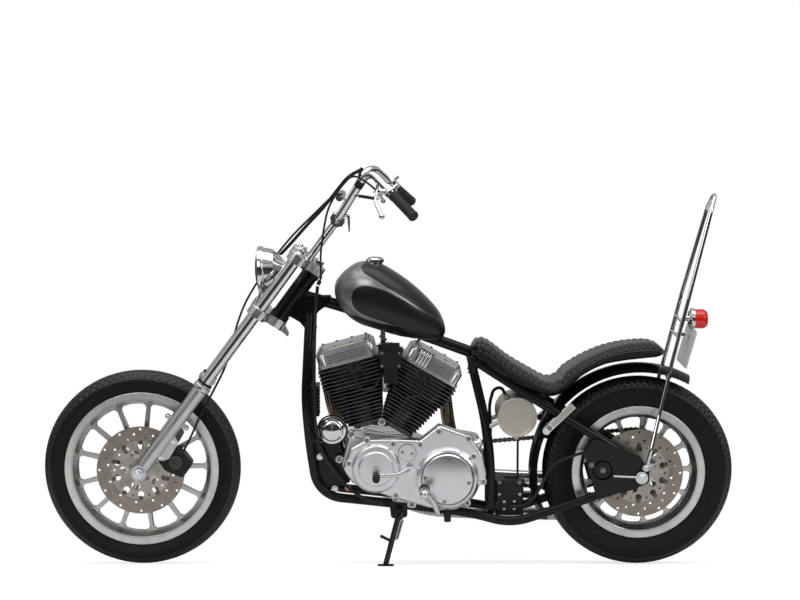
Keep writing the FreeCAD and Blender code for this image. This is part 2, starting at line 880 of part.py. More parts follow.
stalkFlange = rod(spot(bracketFoot, 0.1, 0, 0), spot(bracketFoot, 6, 0, 0), 13)
stalk = stalk.fuse(stalkFlange)
stalk.Placement = lampTurn
lampCore = rod((0, 0.3 * size.lamp_deep, 0), (0, 0.85 * size.lamp_deep, 0), 0.75 * size.lamp_rad)
lensRoom = rod((0, 0.6 * size.lamp_deep, 0), (0, 2 * size.lamp_deep, 0), size.lamp_rad - 6)
finish(
    fusedObject(
        "headlight_on_stalk",
        [lampOuter, shapedFeature("lamp_stalk", stalk.cut([lampCore, lensRoom]))],
    ),
    "headlight",
    lampPlace,
)
lampRoom = rod((0, -4, 0), (0, 0.8 * size.lamp_deep, 0), 0.92 * size.lamp_rad)
lampRoom.Placement = lampTurn.inverse()

caliper = sideBody(
    "front_caliper",
    [(-58, 66, 12), (4, 52, 14), (42, 66, 12), (44, 120, 14), (-12, 138, 16), (-58, 124, 14)],
    "disc_side - 30",
    "disc_side + 31",
    3,
)
sliderRoom = rod(
    (size.fork_offset, size.fork_half, -30),
    (size.fork_offset, size.fork_half, 240),
    size.slider_rad + 0.3,
)
caliperRoom = rod((size.fork_offset, 0, 0), (size.fork_offset, 120, 0), size.disc_rad + 4).common(
    block((-120, size.disc_side - 7.5, -200), (240, size.disc_side + 7.5, 200))
)
caliperBoss = rod((-9, size.disc_side + 28, 96), (-9, size.disc_side + 38, 96), 22)
caliperSeat = block((18, size.disc_side + 20, 92), (54, caliperLugSide - 0.05, 140))
caliperShape = cutObject(
    "front_caliper_cut",
    fusedObject(
        "front_caliper_body",
        [caliper, shapedFeature("caliper_boss", caliperBoss), shapedFeature("caliper_seat", caliperSeat)],
    ),
    shapedFeature("caliper_room", caliperRoom.fuse(sliderRoom)),
)
finish(caliperShape, "front_caliper", forkFrame)

masterPlace = Vector(barFoot.x + 36, -118, barFoot.z + 62)
frontMaster = joined(
    rod(masterPlace + Vector(0, -22, -10), masterPlace + Vector(0, 22, 10), 13),
    rod(masterPlace + Vector(0, 0, 0), masterPlace + Vector(-30, 0, 4), 8),
)
frontMaster = frontMaster.cut(tubeShape(barPoints, size.bar_rad + size.slide_gap, 55))
brakeHose = tubeShape(
    [
        spot(masterPlace, 0, 24, 8),
        spot(masterPlace, 22, 34, -10),
        (106, -112, barFoot.z - 40),
        (122, -116, upperClampTop + 20),
        (128, -112, upperClampTop - 90),
        (124, -104, lowerClampLow + 60),
        (116, -84, lowerClampLow - 10),
        (98, -40, lowerClampLow - 70),
        (72, 10, lowerClampLow - 130),
        (44, 50, lowerClampLow - 200),
        (28, 66, lowerClampLow - 300),
        (14, 66, 250),
        (0, 64, 190),
        (-8, 62, 139.5),
    ],
    3.6,
)
clutchCableUpper = tubeShape(
    [
        spot(leverPivot, 10, -8, 2),
        spot(leverPivot, 44, -20, 4),
        (86, 232, barKneeHeight - 40),
        (92, 190, barKneeHeight - 110),
        (84, 150, barKneeHeight - 180),
        (56, 112, barFoot.z - 40),
        (12, 80, upperClampTop + 36),
        (-34, 58, upperClampTop - 24),
    ],
    3.4,
)
barWires = tubeShape(
    [
        (barKnee.x + 17, 150, barKneeHeight - 12),
        (92, 128, barKneeHeight - 60),
        (94, 100, barFoot.z + 70),
        (96, 76, barFoot.z),
        (104, 62, barFoot.z - 60),
        (112, 54, upperClampTop + 6),
        (118, 44, upperClampTop - 46),
    ],
    5.5,
)
shaped(
    "front_cables",
    Part.makeCompound([brakeHose.cut(frontMaster), clutchCableUpper, barWires.cut(lampRoom)]),
    forkFrame,
)
shaped("brake_master", frontMaster, forkFrame)

# Frame

neckTube = rod((0, 0, neckLow), (0, 0, neckHigh), size.neck_rad)
for level in (neckLow, neckHigh - 14):
    neckTube = neckTube.fuse(rod((0, 0, level), (0, 0, level + 14), size.neck_rad + 3))
neckTube = neckTube.cut(rod((0, 0, neckLow - 1), (0, 0, neckHigh + 1), size.stem_rad + 0.4))
neckTube.Placement = forkFrame
neckRoom = rod((0, 0, neckLow - 60), (0, 0, neckHigh + 60), size.neck_rad)
neckRoom.Placement = forkFrame

backboneStart = neckFoot + forkUp * 97 - forkAhead * 4
backbonePoints = [
    tuple(backboneStart),
    spot(seatJunction, 420, 0, 152),
    tuple(seatJunction),
]
spine = tubeShape(backbonePoints, size.backbone_rad).cut(neckRoom)
gussetHalf = size.backbone_rad
gussetPlate = sideBody(
    "gusset",
    [
        (70, 12),
        (118, -34),
        (52, -72, 26),
        (22, -110, 20),
        (-6, -96, 8),
        (14, -52, 46),
        (-50, -8, 30),
        (-52, 16, 6),
    ],
    gussetHalf - 6,
    gussetHalf,
)
doc.recompute()
gusset = gussetPlate.Shape.copy()
gusset.translate(backboneStart + Vector(-62, 0, -20))
gussetHole = rod(spot(neckFoot, -134, 0, 45), spot(neckFoot, -134, 60, 45), 8)
gusset = gusset.cut([neckRoom, gussetHole])
shaped("frame_spine", neckTube.fuse([spine, gusset, mirrored(gusset)]))

railEndHalf = size.axle_plate_half - size.plate_thick - size.frame_tube_rad
cradlePoints = [
    spot(neckFoot, -104, size.backbone_rad + 21.6, 14),
    spot(neckFoot, -97.5, 78, -132.6),
    spot(crank, 231, 98, 221),
    spot(crank, 217, 96, 64),
    spot(crank, 191, size.cradle_half, -103),
    spot(crank, -73, size.cradle_half, -131),
    (postAhead + 68, size.cradle_half, 190),
    (postAhead - 67, size.rail_splay_half, 158),
    spot(rearAxle, 24, railEndHalf, -26.5),
]
pair("cradle_tubes", sweptTube("cradle_tube", cradlePoints, "frame_tube_rad"))
upperRailPoints = [
    spot(seatJunction, -4, 58, -16),
    (0.5 * seatJunction.x + 7, 106, 532),
    spot(rearAxle, 12, railEndHalf, 48.5),
]
pair("upper_rails", sweptTube("upper_rail", upperRailPoints, "frame_tube_rad"))
postPoints = [
    spot(seatJunction, -10, 40, -54),
    (postAhead + 15, 58, 485),
    (postAhead, 62, 360),
    (postAhead - 2, 62, 200),
]
pair("seat_posts", sweptTube("seat_post", postPoints, "frame_tube_rad"))

axlePlate = sideBody(
    "axle_plate",
    [
        (-26, 21, 10),
        (6, 70, 16),
        (157, 128, 14),
        (187, 72, 20),
        (146, -72, 16),
        (29, -43, 20),
        (-26, -19, 10),
    ],
    "axle_plate_half - plate_thick",
    "axle_plate_half",
    1.5,
)
axlePlate.Placement = axleFrame
pistonPlace = Vector(127, 0, 23)
plateTools = [
    rod((0, 0, 0), (0, 300, 0), size.axle_rad + size.slide_gap),
    rod(spot(pistonPlace, 0, 0, 0), spot(pistonPlace, 0, 300, 0), 33),
]
plateTool = Part.makeCompound(plateTools)
plateTool.Placement = axleFrame
pair("axle_plates", cutObject("axle_plate_cut", axlePlate, shapedFeature("axle_plate_holes", plateTool)))

axleLong = size.axle_plate_half + 14
rearAxleShape = rod((0, -axleLong, 0), (0, axleLong, 0), size.axle_rad)
for side in (1, -1):
    face = side * (size.axle_plate_half + 0.05)
    nut = rod((0, face, 0), (0, face + side * 9, 0), 17)
    washer = rod((0, face, 0), (0, face + side * 3, 0), 20)
    adjuster = rod((8, face + side * 5, 0), (92, face + side * 5, 4), 3.5)
    rearAxleShape = rearAxleShape.fuse([nut, washer, adjuster])
shaped("rear_axle", rearAxleShape, axleFrame)

# Engine

crankcaseBody = sideBody(
    "crankcase",
    [
        (114, 0, 30),
        (79, -58, 24),
        (9, -92, 24),
        (-311, -118, 24),
        (-357, -30, 24),
        (-345, 80, 24),
        (-171, 112, 16),
        (-81, 128, 10),
        (34, 138, 10),
        (89, 100, 16),
    ],
    "-case_half",
    "case_half",
    6,
)
crankcaseBody.Placement = crankFrame
cylinderFrames = {}
for sign, name in ((1, "front"), (-1, "rear")):
    cylinderFrames[name] = engineFrame.multiply(
        Placement(Vector(0, 0, 0), Rotation(Vector(0, 1, 0), sign * size.vee_angle / 2))
    )
caseTools = []
for name in ("front", "rear"):
    deck = block((-120, -130, size.deck_height), (120, 130, size.head_height))
    deck.Placement = cylinderFrames[name]
    caseTools.append(deck)
sprocketCentre = spot(crank, -261, -size.chain_half, -15)
sprocketRoom = block(
    (size.rear_tyre_rad + 120, -200, 150), (sprocketCentre[0] + 66, 17 - size.chain_half, crank.z + 140)
)
caseTools.append(sprocketRoom)
for step in range(3):
    slot = block(
        (-92 + 22 * step, size.case_half - 4, 112 - 9 * step),
        (44 - 8 * step, size.case_half + 1, 116 - 9 * step),
    )
    slot.Placement = crankFrame
    caseTools.append(slot)
caseTool = caseTools[0].fuse(caseTools[1:])
finish(cutObject("crankcase_cut", crankcaseBody, shapedFeature("crankcase_room", caseTool)), "crankcase")

primaryBody = sideBody(
    "primary_cover",
    [
        (107, 1, 16),
        (97, -19, 16),
        (61, -59, 24),
        (-53, -97, 30),
        (-178, -132, 40),
        (-272, -126, 44),
        (-367, -33, 50),
        (-352, 40, 20),
        (-307, 107, 12),
        (-206, 143, 12),
        (-144, 93, 14),
        (-58, 97, 30),
        (33, 95, 34),
        (84, 66, 24),
    ],
    "case_half",
    "primary_face",
    9,
)
clutchAcross = -234
clutchUp = -32
alternatorBulge = turnedBody(
    "alternator_bulge",
    [
        (0, "primary_face - 2"),
        (82, "primary_face - 2"),
        (74, "primary_face + 9", 6),
        (58, "primary_face + 10", 2),
        (54, "primary_face + 16", 5),
        (0, "primary_face + 18"),
    ],
)
alternatorBulge.Placement = Placement(Vector(-1, 0, 0), Rotation())
clutchRing = turnedBody(
    "clutch_ring",
    [
        (0, "primary_face - 6"),
        ("clutch_rad + 22", "primary_face - 6"),
        ("clutch_rad + 12", "clutch_face - 14", 10),
        ("clutch_rad + 3", "clutch_face - 9", 3),
        ("clutch_rad + 0.3", "clutch_face - 9"),
        ("clutch_rad + 0.3", "clutch_face - 12"),
        (0, "clutch_face - 12"),
    ],
)
clutchRing.Placement = Placement(Vector(clutchAcross, 0, clutchUp), Rotation())
shiftBoss = shapedFeature(
    "shift_boss", rod((-112, size.primary_face - 4, 2), (-112, size.primary_face + 7, 2), 15)
)
finish(
    fusedObject("primary_cover_whole", [primaryBody, alternatorBulge, clutchRing, shiftBoss]),
    "primary_cover",
    crankFrame,
)
clutchDome = turnedBody(
    "clutch_dome",
    [
        (0, "clutch_face - 12"),
        ("clutch_rad", "clutch_face - 12"),
        ("clutch_rad", "clutch_face - 5"),
        ("clutch_rad - 5", "clutch_face", "5 * clutch_rad", "left"),
        (4, "clutch_face + 7"),
        (0, "clutch_face + 7"),
    ],
)
clutchDome.Placement = Placement(Vector(clutchAcross, 0, clutchUp), Rotation())
inspectionCap = shapedFeature(
    "inspection_cap", rod((-103, size.primary_face + 0.05, 53), (-103, size.primary_face + 4, 53), 28)
)
finish(together("clutch_covers", [clutchDome, inspectionCap]), "clutch_cover", crankFrame)

camBody = sideBody(
    "cam_cover",
    [
        (89, 0, 24),
        (59, -80, 24),
        (-11, -100, 24),
        (-111, -88, 24),
        (-151, -20, 20),
        (-131, 90, 20),
        (-71, 106, 14),
        (20, 112, 14),
        (79, 80, 20),
    ],
    "-cam_face",
    "-case_half",
    7,
    "-cam_face",
)
timerCover = turnedBody(
    "timer_cover",
    [(0, "-cam_face + 1"), (44, "-cam_face + 1"), (40, "-cam_face - 7", 3), (0, "-cam_face - 10")],
)
timerCover.Placement = Placement(Vector(22, 0, -2), Rotation())
finish(fusedObject("cam_cover_whole", [camBody, timerCover]), "cam_cover", crankFrame)


def roundedBlock(low, high, radius):
    # a box whose upright corners are rounded
    shape = block(low, high)
    upright = [edge for edge in shape.Edges if abs(edge.tangentAt(edge.FirstParameter).z) > 0.99]
    return shape.makeFillet(radius, upright)


def finnedCylinder(sign):
    barrel = Part.makeCylinder(
        size.barrel_rad,
        size.head_height - size.deck_height,
        Vector(0, 0, size.deck_height),
    )
    base = roundedBlock((-58, -60, size.deck_height), (58, 60, size.deck_height + 9), 14)
    headLow = size.deck_height + 0.62 * (size.head_height - size.deck_height)
    head = roundedBlock((-74, -66, headLow), (74, 66, size.head_height), 20)
    count = int(size.fin_count)
    pitch = (size.head_height - size.deck_height - 16) / count
    fins = []
    for index in range(count):
        low = size.deck_height + 16 + index * pitch
        if low < headLow:
            share = (low - size.deck_height) / (headLow - size.deck_height)
            half = size.fin_half_low + (size.fin_half_high - size.fin_half_low) * share
        else:
            half = size.head_fin_half
        across = half * size.fin_side_share
        fins.append(roundedBlock((-half, -across, low), (half, across, low + size.fin_thick), 16))
    casting = barrel.fuse([base, head] + fins)
    plugAcross = sign * size.plug_across
    plugLevel = size.head_height - size.plug_drop
    plugRoom = block((plugAcross - 22, 58, plugLevel - 26), (plugAcross + 22, 120, plugLevel + 20))
    pushrodRoom = block((-50, -140, size.deck_height - 1), (50, -62, size.head_height + 1))
    middle = block(
        (-300, -300, -50),
        (0.5, 300, 600),
    ) if sign == 1 else block((-0.5, -300, -50), (300, 300, 600))
    middle.Placement = Placement(Vector(0, 0, 0), Rotation(Vector(0, 1, 0), -sign * size.vee_angle / 2))
    casting = casting.cut([plugRoom, pushrodRoom, middle])
    plug = joined(
        rod((plugAcross, 64, plugLevel - 6), (plugAcross, size.plug_end, plugLevel), 7),
        rod((plugAcross, 64, plugLevel - 6), (plugAcross, 74, plugLevel - 4), 12),
    )
    return casting.fuse(plug)


def rockerBox(sign):
    # a ribbed cover with smooth end bosses and a stepped lid
    half = size.rocker_half
    deep = size.rocker_side_half
    low = size.head_height + 0.05
    high = low + size.rocker_height
    shell = roundedBlock((-half, -deep, low), (half, deep, high - 10), 22)
    lid = roundedBlock((-half + 8, -deep + 8, high - 10), (half - 8, deep - 8, high), 18)
    hump = roundedBlock((-half + 24, -deep + 20, high), (half - 24, deep - 20, high + 6), 14)
    flange = roundedBlock((-half - 4, -deep - 4, low), (half + 4, deep + 4, low + 8), 24)
    body = shell.fuse([lid, hump, flange])
    grooves = []
    for step in range(4):
        level = low + 14 + 7.5 * step
        for side in (1, -1):
            inner = (-half + 34, side * deep - 1.6, level)
            grooves.append(block(inner, (half - 34, side * deep + 1.6, level + 2.6)))
    return body.cut(grooves)


pushrods = []
for sign, name in ((1, "front"), (-1, "rear")):
    frameHere = cylinderFrames[name]
    shaped("%s_cylinder" % name, finnedCylinder(sign), frameHere)
    shaped("%s_rocker_box" % name, rockerBox(sign), frameHere)
    for across in (-24, 24):
        tubeLow = size.deck_height + 0.05
        tubeHigh = size.head_height
        pushrod = joined(
            rod((across, -75, tubeLow), (across, -75, tubeHigh), size.pushrod_rad),
            rod((across, -75, tubeLow), (across, -75, tubeLow + 12), size.pushrod_rad + 3.5),
            rod((across, -75, tubeHigh - 10), (across, -75, tubeHigh), size.pushrod_rad + 2.5),
        )
        pushrod.Placement = frameHere
        pushrods.append(pushrod)
shaped("pushrod_tubes", Part.makeCompound(pushrods))

coilSide = size.fin_side_share * size.head_fin_half + 0.3
coilBox = roundedBlock((-83, coilSide, 328), (-13, coilSide + 34, 384), 6)
coilTop = block((-78, coilSide + 3, 384), (-18, coilSide + 30, 408))
coilLow = block((-72, coilSide + 2, 276), (-26, coilSide + 28, 328))
shaped("coil", joined(coilBox, coilTop, coilLow), crankFrame)

intake = tubeShape([(-30, -66, 288), (-34, -100, 290), (-36, -128, 290)], 20, 30)
intake = intake.fuse([rod((-36, -100, 290), (-36, -150, 290), 27), block((-62, -142, 240), (-10, -106, 290))])
for name in ("front", "rear"):
    cylinderRoom = block(
        (-size.head_fin_half, -coilSide, size.deck_height), (
            size.head_fin_half,
            coilSide,
            size.head_height + 60,
        )
    )
    cylinderRoom.Placement = crankFrame.inverse().multiply(cylinderFrames[name])
    intake = intake.cut(cylinderRoom)
filterBody = turnedBody(
    "filter",
    [(0, -150), (70, -150), (86, -158, 4), (86, -182, 8), (70, -190, 3), (20, -194, 2), (0, -194)],
)
filterBody.Placement = Placement(Vector(-36, 0, 290), Rotation())
doc.recompute()
shaped("air_cleaner", intake.fuse(filterBody.Shape), crankFrame)

frontPipe = [
    (151, -97, 262),
    (166, -146, 252),
    (150, -174, 150),
    (92, -182, 0),
    (2, -184, -130),
    (-150, -184, -205),
    (-300, -184, -216),
    (-size.pipe_long, -184, -222),
]
rearPipe = [
    (-207, -103, 217),
    (-232, -150, 200),
    (-246, -174, 90),
    (-272, -184, -10),
    (-352, -186, -84),
    (-460, -186, -92),
    (-size.pipe_long, -186, -96),
]
pipes = []
for route in (frontPipe, rearPipe):
    pipe = tubeShape(route, size.pipe_rad)
    end = Vector(*route[-1])
    back = (end - Vector(*route[-2])).normalize()
    pipes.append(pipe.cut(rod(end - back * 90, end + back, size.pipe_rad - size.pipe_wall)))
shaped("exhaust_pipes", Part.makeCompound(pipes), crankFrame)

hornDome = turnedBody(
    "horn_dome",
    [(0, 88), (47, 88), (47, 98, 3), (38, 100), (34, 118, 14), (0, 126)],
)
hornDome.Placement = Placement(Vector(144, 0, 118), Rotation())
doc.recompute()
strapRoom = crankcaseBody.Shape.copy()
strapRoom.Placement = Placement()
hornStrap = block((70, 76, 108), (144, 82, 128)).cut(strapRoom)
hornStem = rod((144, 76, 118), (144, 89, 118), 9)
shaped("horn_cover", hornDome.Shape.fuse([hornStrap, hornStem]), crankFrame)

regulatorBack = 216
regulator = [block((regulatorBack - 7, -82, 152), (regulatorBack, 82, 262))]
for step in range(9):
    finLow = 156 + 12 * step
    regulator.append(block((regulatorBack - 28, -50, finLow), (regulatorBack - 7, 50, finLow + 4)))
regulatorShape = regulator[0].fuse(regulator[1:])

mountRoom = crankcaseBody.Shape.copy()
mountRoom.Placement = Placement()
cradleShape = tubeShape(cradlePoints, size.frame_tube_rad + 0.05)
cradleShape.Placement = crankFrame.inverse()
cradleRoom = cradleShape.fuse(mirrored(cradleShape))
regulatorShape = regulatorShape.cut(cradleRoom)
shaped("regulator", regulatorShape, crankFrame)

# Brackets that tie the engine, the side stand and the frame together

frontMount = sideBody(
    "front_mount",
    [(84, -60, 8), (120, 70, 10), (212, 74, 8), (205, 30, 20), (176, -96, 8)],
    62,
    70,
)
doc.recompute()
frontPlates = frontMount.Shape.fuse(mirrored(frontMount.Shape))
frontTies = [rod((196, -84, 60), (196, 84, 60), 9), rod((168, -84, -74), (168, 84, -74), 9)]
frontPlates = frontPlates.fuse(frontTies).cut([mountRoom, cradleRoom])
postShape = tubeShape(postPoints, size.frame_tube_rad + 0.05)
postShape.Placement = crankFrame.inverse()
rearMount = block((-384, -60, -24), (-340, 60, 28))
rearMount = rearMount.cut([mountRoom, postShape, mirrored(postShape), sprocketRoom.copy()])
rearMount = rearMount.cut(block((-400, -80, -30), (-361, 80, 40)))
crossTube = rod((postAhead - crank.x - 2, -62, -163), (postAhead - crank.x - 2, 62, -163), 11)
crossTube = crossTube.cut([postShape, mirrored(postShape)])
lowTie = rod(
    (-250, -size.cradle_half, -148),
    (-250, size.cradle_half, -148),
    10,
).cut([cradleRoom, mountRoom])
standPivot = Vector(-76, 132, -154)
standAxis = Vector(0.068, 0.793, 0.606)
bracketLow = sideBody("stand_plate", [(-104, -124), (-104, -172, 12), (-50, -176, 12), (-44, -120)], 98, 106)
doc.recompute()
standPlate = bracketLow.Shape.cut(cradleRoom)
standLug = rod(standPivot - standAxis * 26, standPivot - standAxis * 13.4, 13).cut(cradleRoom)
brackets = [frontPlates, rearMount, crossTube, lowTie, standPlate.fuse(standLug)]
shaped("frame_brackets", Part.makeCompound([piece for piece in brackets if piece.Volume > 1]), crankFrame)

# Foot controls

shiftAcross = -112
shiftLever = joined(
    rod((shiftAcross, size.primary_face + 7.2, 2), (shiftAcross, size.primary_face + 26, 2), 11),
    tubeShape(
        [
            (shiftAcross, size.primary_face + 20, 2),
            (-72, size.primary_face + 26, -16),
            (-4, size.primary_face + 30, -18),
        ],
        size.lever_rad,
        16,
    ),
    rod((-2, size.primary_face + 26, -18), (-2, size.primary_face + 84, -18), 10),
    Part.makeSphere(10, Vector(-2, size.primary_face + 84, -18)),
)
brakePedal = joined(
    tubeShape(
        [
            (-118, -size.cradle_half - 15.3, -118),
            (-118, -228, -118),
            (-20, -230, -92),
            (62, -230, -30),
        ], 8, 24
    ),
    rod((58, -222, -30), (58, -294, -30), 13),
)
shaped("foot_controls", Part.makeCompound([shiftLever, brakePedal]), crankFrame)

riderPeg = joined(
    rod((-158, 196, -56), (-158, 296, -56), size.peg_rad),
    Part.makeSphere(size.peg_rad, Vector(-158, 296, -56)),
    tubeShape(
        [(-206, size.cradle_half + 15.3, -148), (-206, 180, -148), (-186, 198, -98), (-158, 206, -56)],
        8,
        16,
    ),
)
riderPeg.Placement = crankFrame
passengerPeg = joined(
    block((-10, -11, -11), (108, 11, 11)),
    rod((-14, -14, 0), (-14, 14, 0), 12),
)
shaped("rider_pegs", Part.makeCompound([riderPeg, mirrored(riderPeg)]))
passengerPeg.Placement = Placement(Vector(304, 138, 484), Rotation(Vector(0, 1, 0), 180 + 43.5))
clevis = rod((304, 118, 484), (304, 124.5, 484), 13)
railTube = tubeShape(upperRailPoints, size.frame_tube_rad + 0.05)
clevis = clevis.fuse(rod((304, 106, 484), (304, 124.5, 484), 9)).cut(railTube)
shaped("passenger_pegs", Part.makeCompound([passengerPeg.fuse(clevis), mirrored(passengerPeg.fuse(clevis))]))

# Tank, seat, oil tank and battery box


def ringSection(ahead, half, low, high, fullness=2.4):
    # a rounded section across the machine, squarer as the fullness grows
    points = []
    count = 28
    for index in range(count):
        angle = 2 * math.pi * index / count
        across = math.copysign(abs(math.cos(angle)) ** (2 / fullness), math.cos(angle)) * half
        rise = math.copysign(abs(math.sin(angle)) ** (2 / fullness), math.sin(angle))
        points.append(Vector(ahead, across, (low + high) / 2 + rise * (high - low) / 2))
    curve = Part.BSplineCurve()
    curve.interpolate(points, PeriodicFlag=True)
    return Part.Wire(curve.toShape())


tankBack = seatJunction.x + size.tank_start
backboneSlope = 152 / 420


def overBackbone(ahead, rise):
    return seatJunction.z + (ahead - seatJunction.x) * backboneSlope + rise


# share of the length from the tail, share of the half width, bottom and top over the backbone
tankStations = [
    (1.0, 0.18, 27, 62),
    (0.978, 0.42, 9, 82),
    (0.91, 0.66, -18, 119),
    (0.787, 0.88, -36, 164),
    (0.623, 1.0, -35, 186),
    (0.432, 0.98, -31, 175),
    (0.24, 0.84, -17.5, 146.5),
    (0.077, 0.58, 0, 106),
    (0, 0.38, 20, 70),
]
tankRings = []
for along, wide, low, high in tankStations:
    ahead = tankBack + along * size.tank_long
    tankRings.append(
        ringSection(ahead, wide * size.tank_half, overBackbone(ahead, low), overBackbone(ahead, high))
    )
tank = Part.makeLoft(tankRings, True)
tank = tank.cut(tubeShape(backbonePoints, size.backbone_rad + size.cushion_gap))
shaped("tank", tank)

capPlace = Vector(tankBack + 0.634 * size.tank_long, 0, 0)
capPlace.z = overBackbone(capPlace.x, 178)
capBody = turnedBody(
    "cap",
    [
        (0, -8),
        (24, -8),
        (24, 6),
        ("cap_rad - 2", 6),
        ("cap_rad", 9, 1),
        ("cap_rad", 17, 2),
        (20, 24, 20),
        (0, 25),
    ],
)
doc.recompute()
cap = capBody.Shape.copy()
cap.Placement = Placement(capPlace, Rotation(Vector(1, 0, 0), 90))
petcock = joined(
    rod((capPlace.x - 26, 45, capPlace.z - 262), (capPlace.x - 26, 45, capPlace.z - 200), 8),
    rod((capPlace.x - 26, 45, capPlace.z - 240), (capPlace.x - 26, 66, capPlace.z - 240), 6),
    block(
        (capPlace.x - 34, 62, capPlace.z - 262), (capPlace.x - 18, 67, capPlace.z - 236)
    ),
)
shaped("tank_fittings", Part.makeCompound([cap.cut(tank), petcock.cut(tank)]))

# share of the length from the nose, share of the half width, bottom and top over the frame
seatStations = [
    (0, 0.4, -4, 19),
    (0.0233, 0.6, -15, 42),
    (0.0621, 0.74, -28, 49),
    (0.1087, 0.84, -44, 37),
    (0.2034, 0.94, -79, -7),
    (0.309, 1.0, -105, -44),
    (0.396, 1.0, -120, -70),
    (0.4503, 0.99, -112, -60),
    (0.4876, 0.98, -97, -32),
    (0.5714, 0.93, -46, 5),
    (0.6755, 0.86, -9, 40),
    (0.7795, 0.8, 8, 62),
    (0.8835, 0.74, 18, 72),
    (0.9472, 0.66, 24, 70),
    (1.0, 0.5, 31, 49),
]
fenderRad = size.rear_tyre_rad + size.fender_gap
fenderTop = rearAxle.z + fenderRad
seatTail = -0.232 * fenderRad
seatRings = []
for along, wide, low, high in seatStations:
    ahead = seatJunction.x + along * (seatTail - seatJunction.x)
    level = seatJunction.z + along * (fenderTop - seatJunction.z)
    seatRings.append(ringSection(ahead, wide * size.seat_half, level + low, level + high, 3.2))
cushion = Part.makeLoft(seatRings, True)
rail = tubeShape(upperRailPoints, size.frame_tube_rad + size.cushion_gap)
seatPost = tubeShape(postPoints, size.frame_tube_rad + size.cushion_gap)
spineRoom = tubeShape(backbonePoints, size.backbone_rad + size.cushion_gap)
spineEnd = rod(tuple(seatJunction), spot(seatJunction, -60, 0, -22), size.backbone_rad + size.cushion_gap)
seatTools = [rail, mirrored(rail), seatPost, mirrored(seatPost), spineRoom, spineEnd]
shaped("seat", cushion.cut(seatTools))

oilPlace = Vector(postAhead - 86, 0, seatJunction.z - 206)
oilBody = turnedBody(
    "oil_drum",
    [
        (0, "-oil_half + 4"),
        ("oil_rad - 9", "-oil_half + 4", 3),
        ("oil_rad - 6", "-oil_half", 1),
        ("oil_rad", "-oil_half", 2.5),
        ("oil_rad", "oil_half", 2.5),
        ("oil_rad - 6", "oil_half", 1),
        ("oil_rad - 9", "oil_half - 4", 3),
        (0, "oil_half - 4"),
    ],
)
doc.recompute()
oilTank = oilBody.Shape.copy()
oilTank.translate(oilPlace)
postRoom = tubeShape(postPoints, size.frame_tube_rad + 0.05)
for side in (1, -1):
    stay = rod(spot(oilPlace, 55, side * 60, -18), (postAhead + 8, side * 60, oilPlace.z - 38), 8)
    oilTank = oilTank.fuse(stay.cut([postRoom, mirrored(postRoom)]))
drain = rod(spot(oilPlace, 1, 60, -60), spot(oilPlace, 1, 60, -78), 10)
union = joined(
    rod(spot(oilPlace, 26, 30, 48), spot(oilPlace, 36, 30, 66), 8),
    rod(spot(oilPlace, 28, 30, 52), spot(oilPlace, 33, 30, 60), 11),
)
shaped("oil_tank", oilTank.fuse([drain, union]))

boxLow = 176
boxShape = roundedBlock(
    (boxBack, -size.box_half, boxLow), (boxBack + size.box_long, size.box_half, boxLow + size.box_high), 10
)
boxTop = roundedBlock(
    (boxBack - 3, -size.box_half - 3, boxLow + size.box_high - 16),
    (boxBack + size.box_long + 1.5, size.box_half + 3, boxLow + size.box_high),
    11,
)
boxStay = block(
    (boxBack + 15, -22, boxLow + size.box_high - 1), (boxBack + 62, 22, boxLow + size.box_high + 5)
).fuse(block((boxBack + 15, -22, boxLow + size.box_high), (boxBack + 20, 22, oilPlace.z - 40)))
oilRoom = rod(spot(oilPlace, 0, -200, 0), spot(oilPlace, 0, 200, 0), size.oil_rad + 0.05)
boxStay = boxStay.cut(oilRoom)
boxLug = block((boxBack + 80, -66, boxLow + 20), (postAhead - 4, 66, boxLow + 50))
boxShape = boxShape.fuse([boxTop, boxStay, boxLug])
doc.recompute()
boxShape = boxShape.cut([postRoom, mirrored(postRoom)])
bracketRoom = next(piece for piece in subParts if piece.Label == "frame_brackets").Shape.copy()
bracketRoom.Placement = crankFrame
boxShape = boxShape.cut(bracketRoom)
shaped("battery_box", boxShape)

# Rear fender, sissy bar, lamp and plate

fenderStart = -27
fenderSweep = 145
crownRise = 24
outerEdge = Part.Arc(
    Vector(fenderRad - crownRise, -size.fender_half, 0),
    Vector(fenderRad, 0, 0),
    Vector(fenderRad - crownRise, size.fender_half, 0),
).toShape()
innerEdge = Part.Arc(
    Vector(fenderRad - crownRise, -size.fender_half + size.fender_sheet, 0),
    Vector(fenderRad - size.fender_sheet, 0, 0),
    Vector(fenderRad - crownRise, size.fender_half - size.fender_sheet, 0),
).toShape()
lipLeft = Part.LineSegment(innerEdge.lastVertex().Point, outerEdge.lastVertex().Point).toShape()
lipRight = Part.LineSegment(innerEdge.firstVertex().Point, outerEdge.firstVertex().Point).toShape()
section = Part.Face(Part.Wire(Part.__sortEdges__([outerEdge, lipLeft, innerEdge, lipRight])))
section.rotate(Vector(0, 0, 0), Vector(0, 1, 0), -fenderStart)
fender = section.revolve(Vector(0, 0, 0), Vector(0, -1, 0), fenderSweep)
strutAhead = -92
strutUp = 336.5
sissyReach = size.fender_half + 16
for side in (1, -1):
    fender = fender.fuse(
        rod(
            (strutAhead, side * (size.fender_half - 3), strutUp - 12),
            (strutAhead, side * sissyReach, strutUp),
            10,
        )
    )
fenderStay = block((fenderRad - 12, -18, -94), (boxBack - 3.05, 18, -76))
fenderFill = block((0, -100, -120), (fenderRad * 0.968, 100, -60))
fender = fender.fuse(fenderStay.cut(fenderFill))

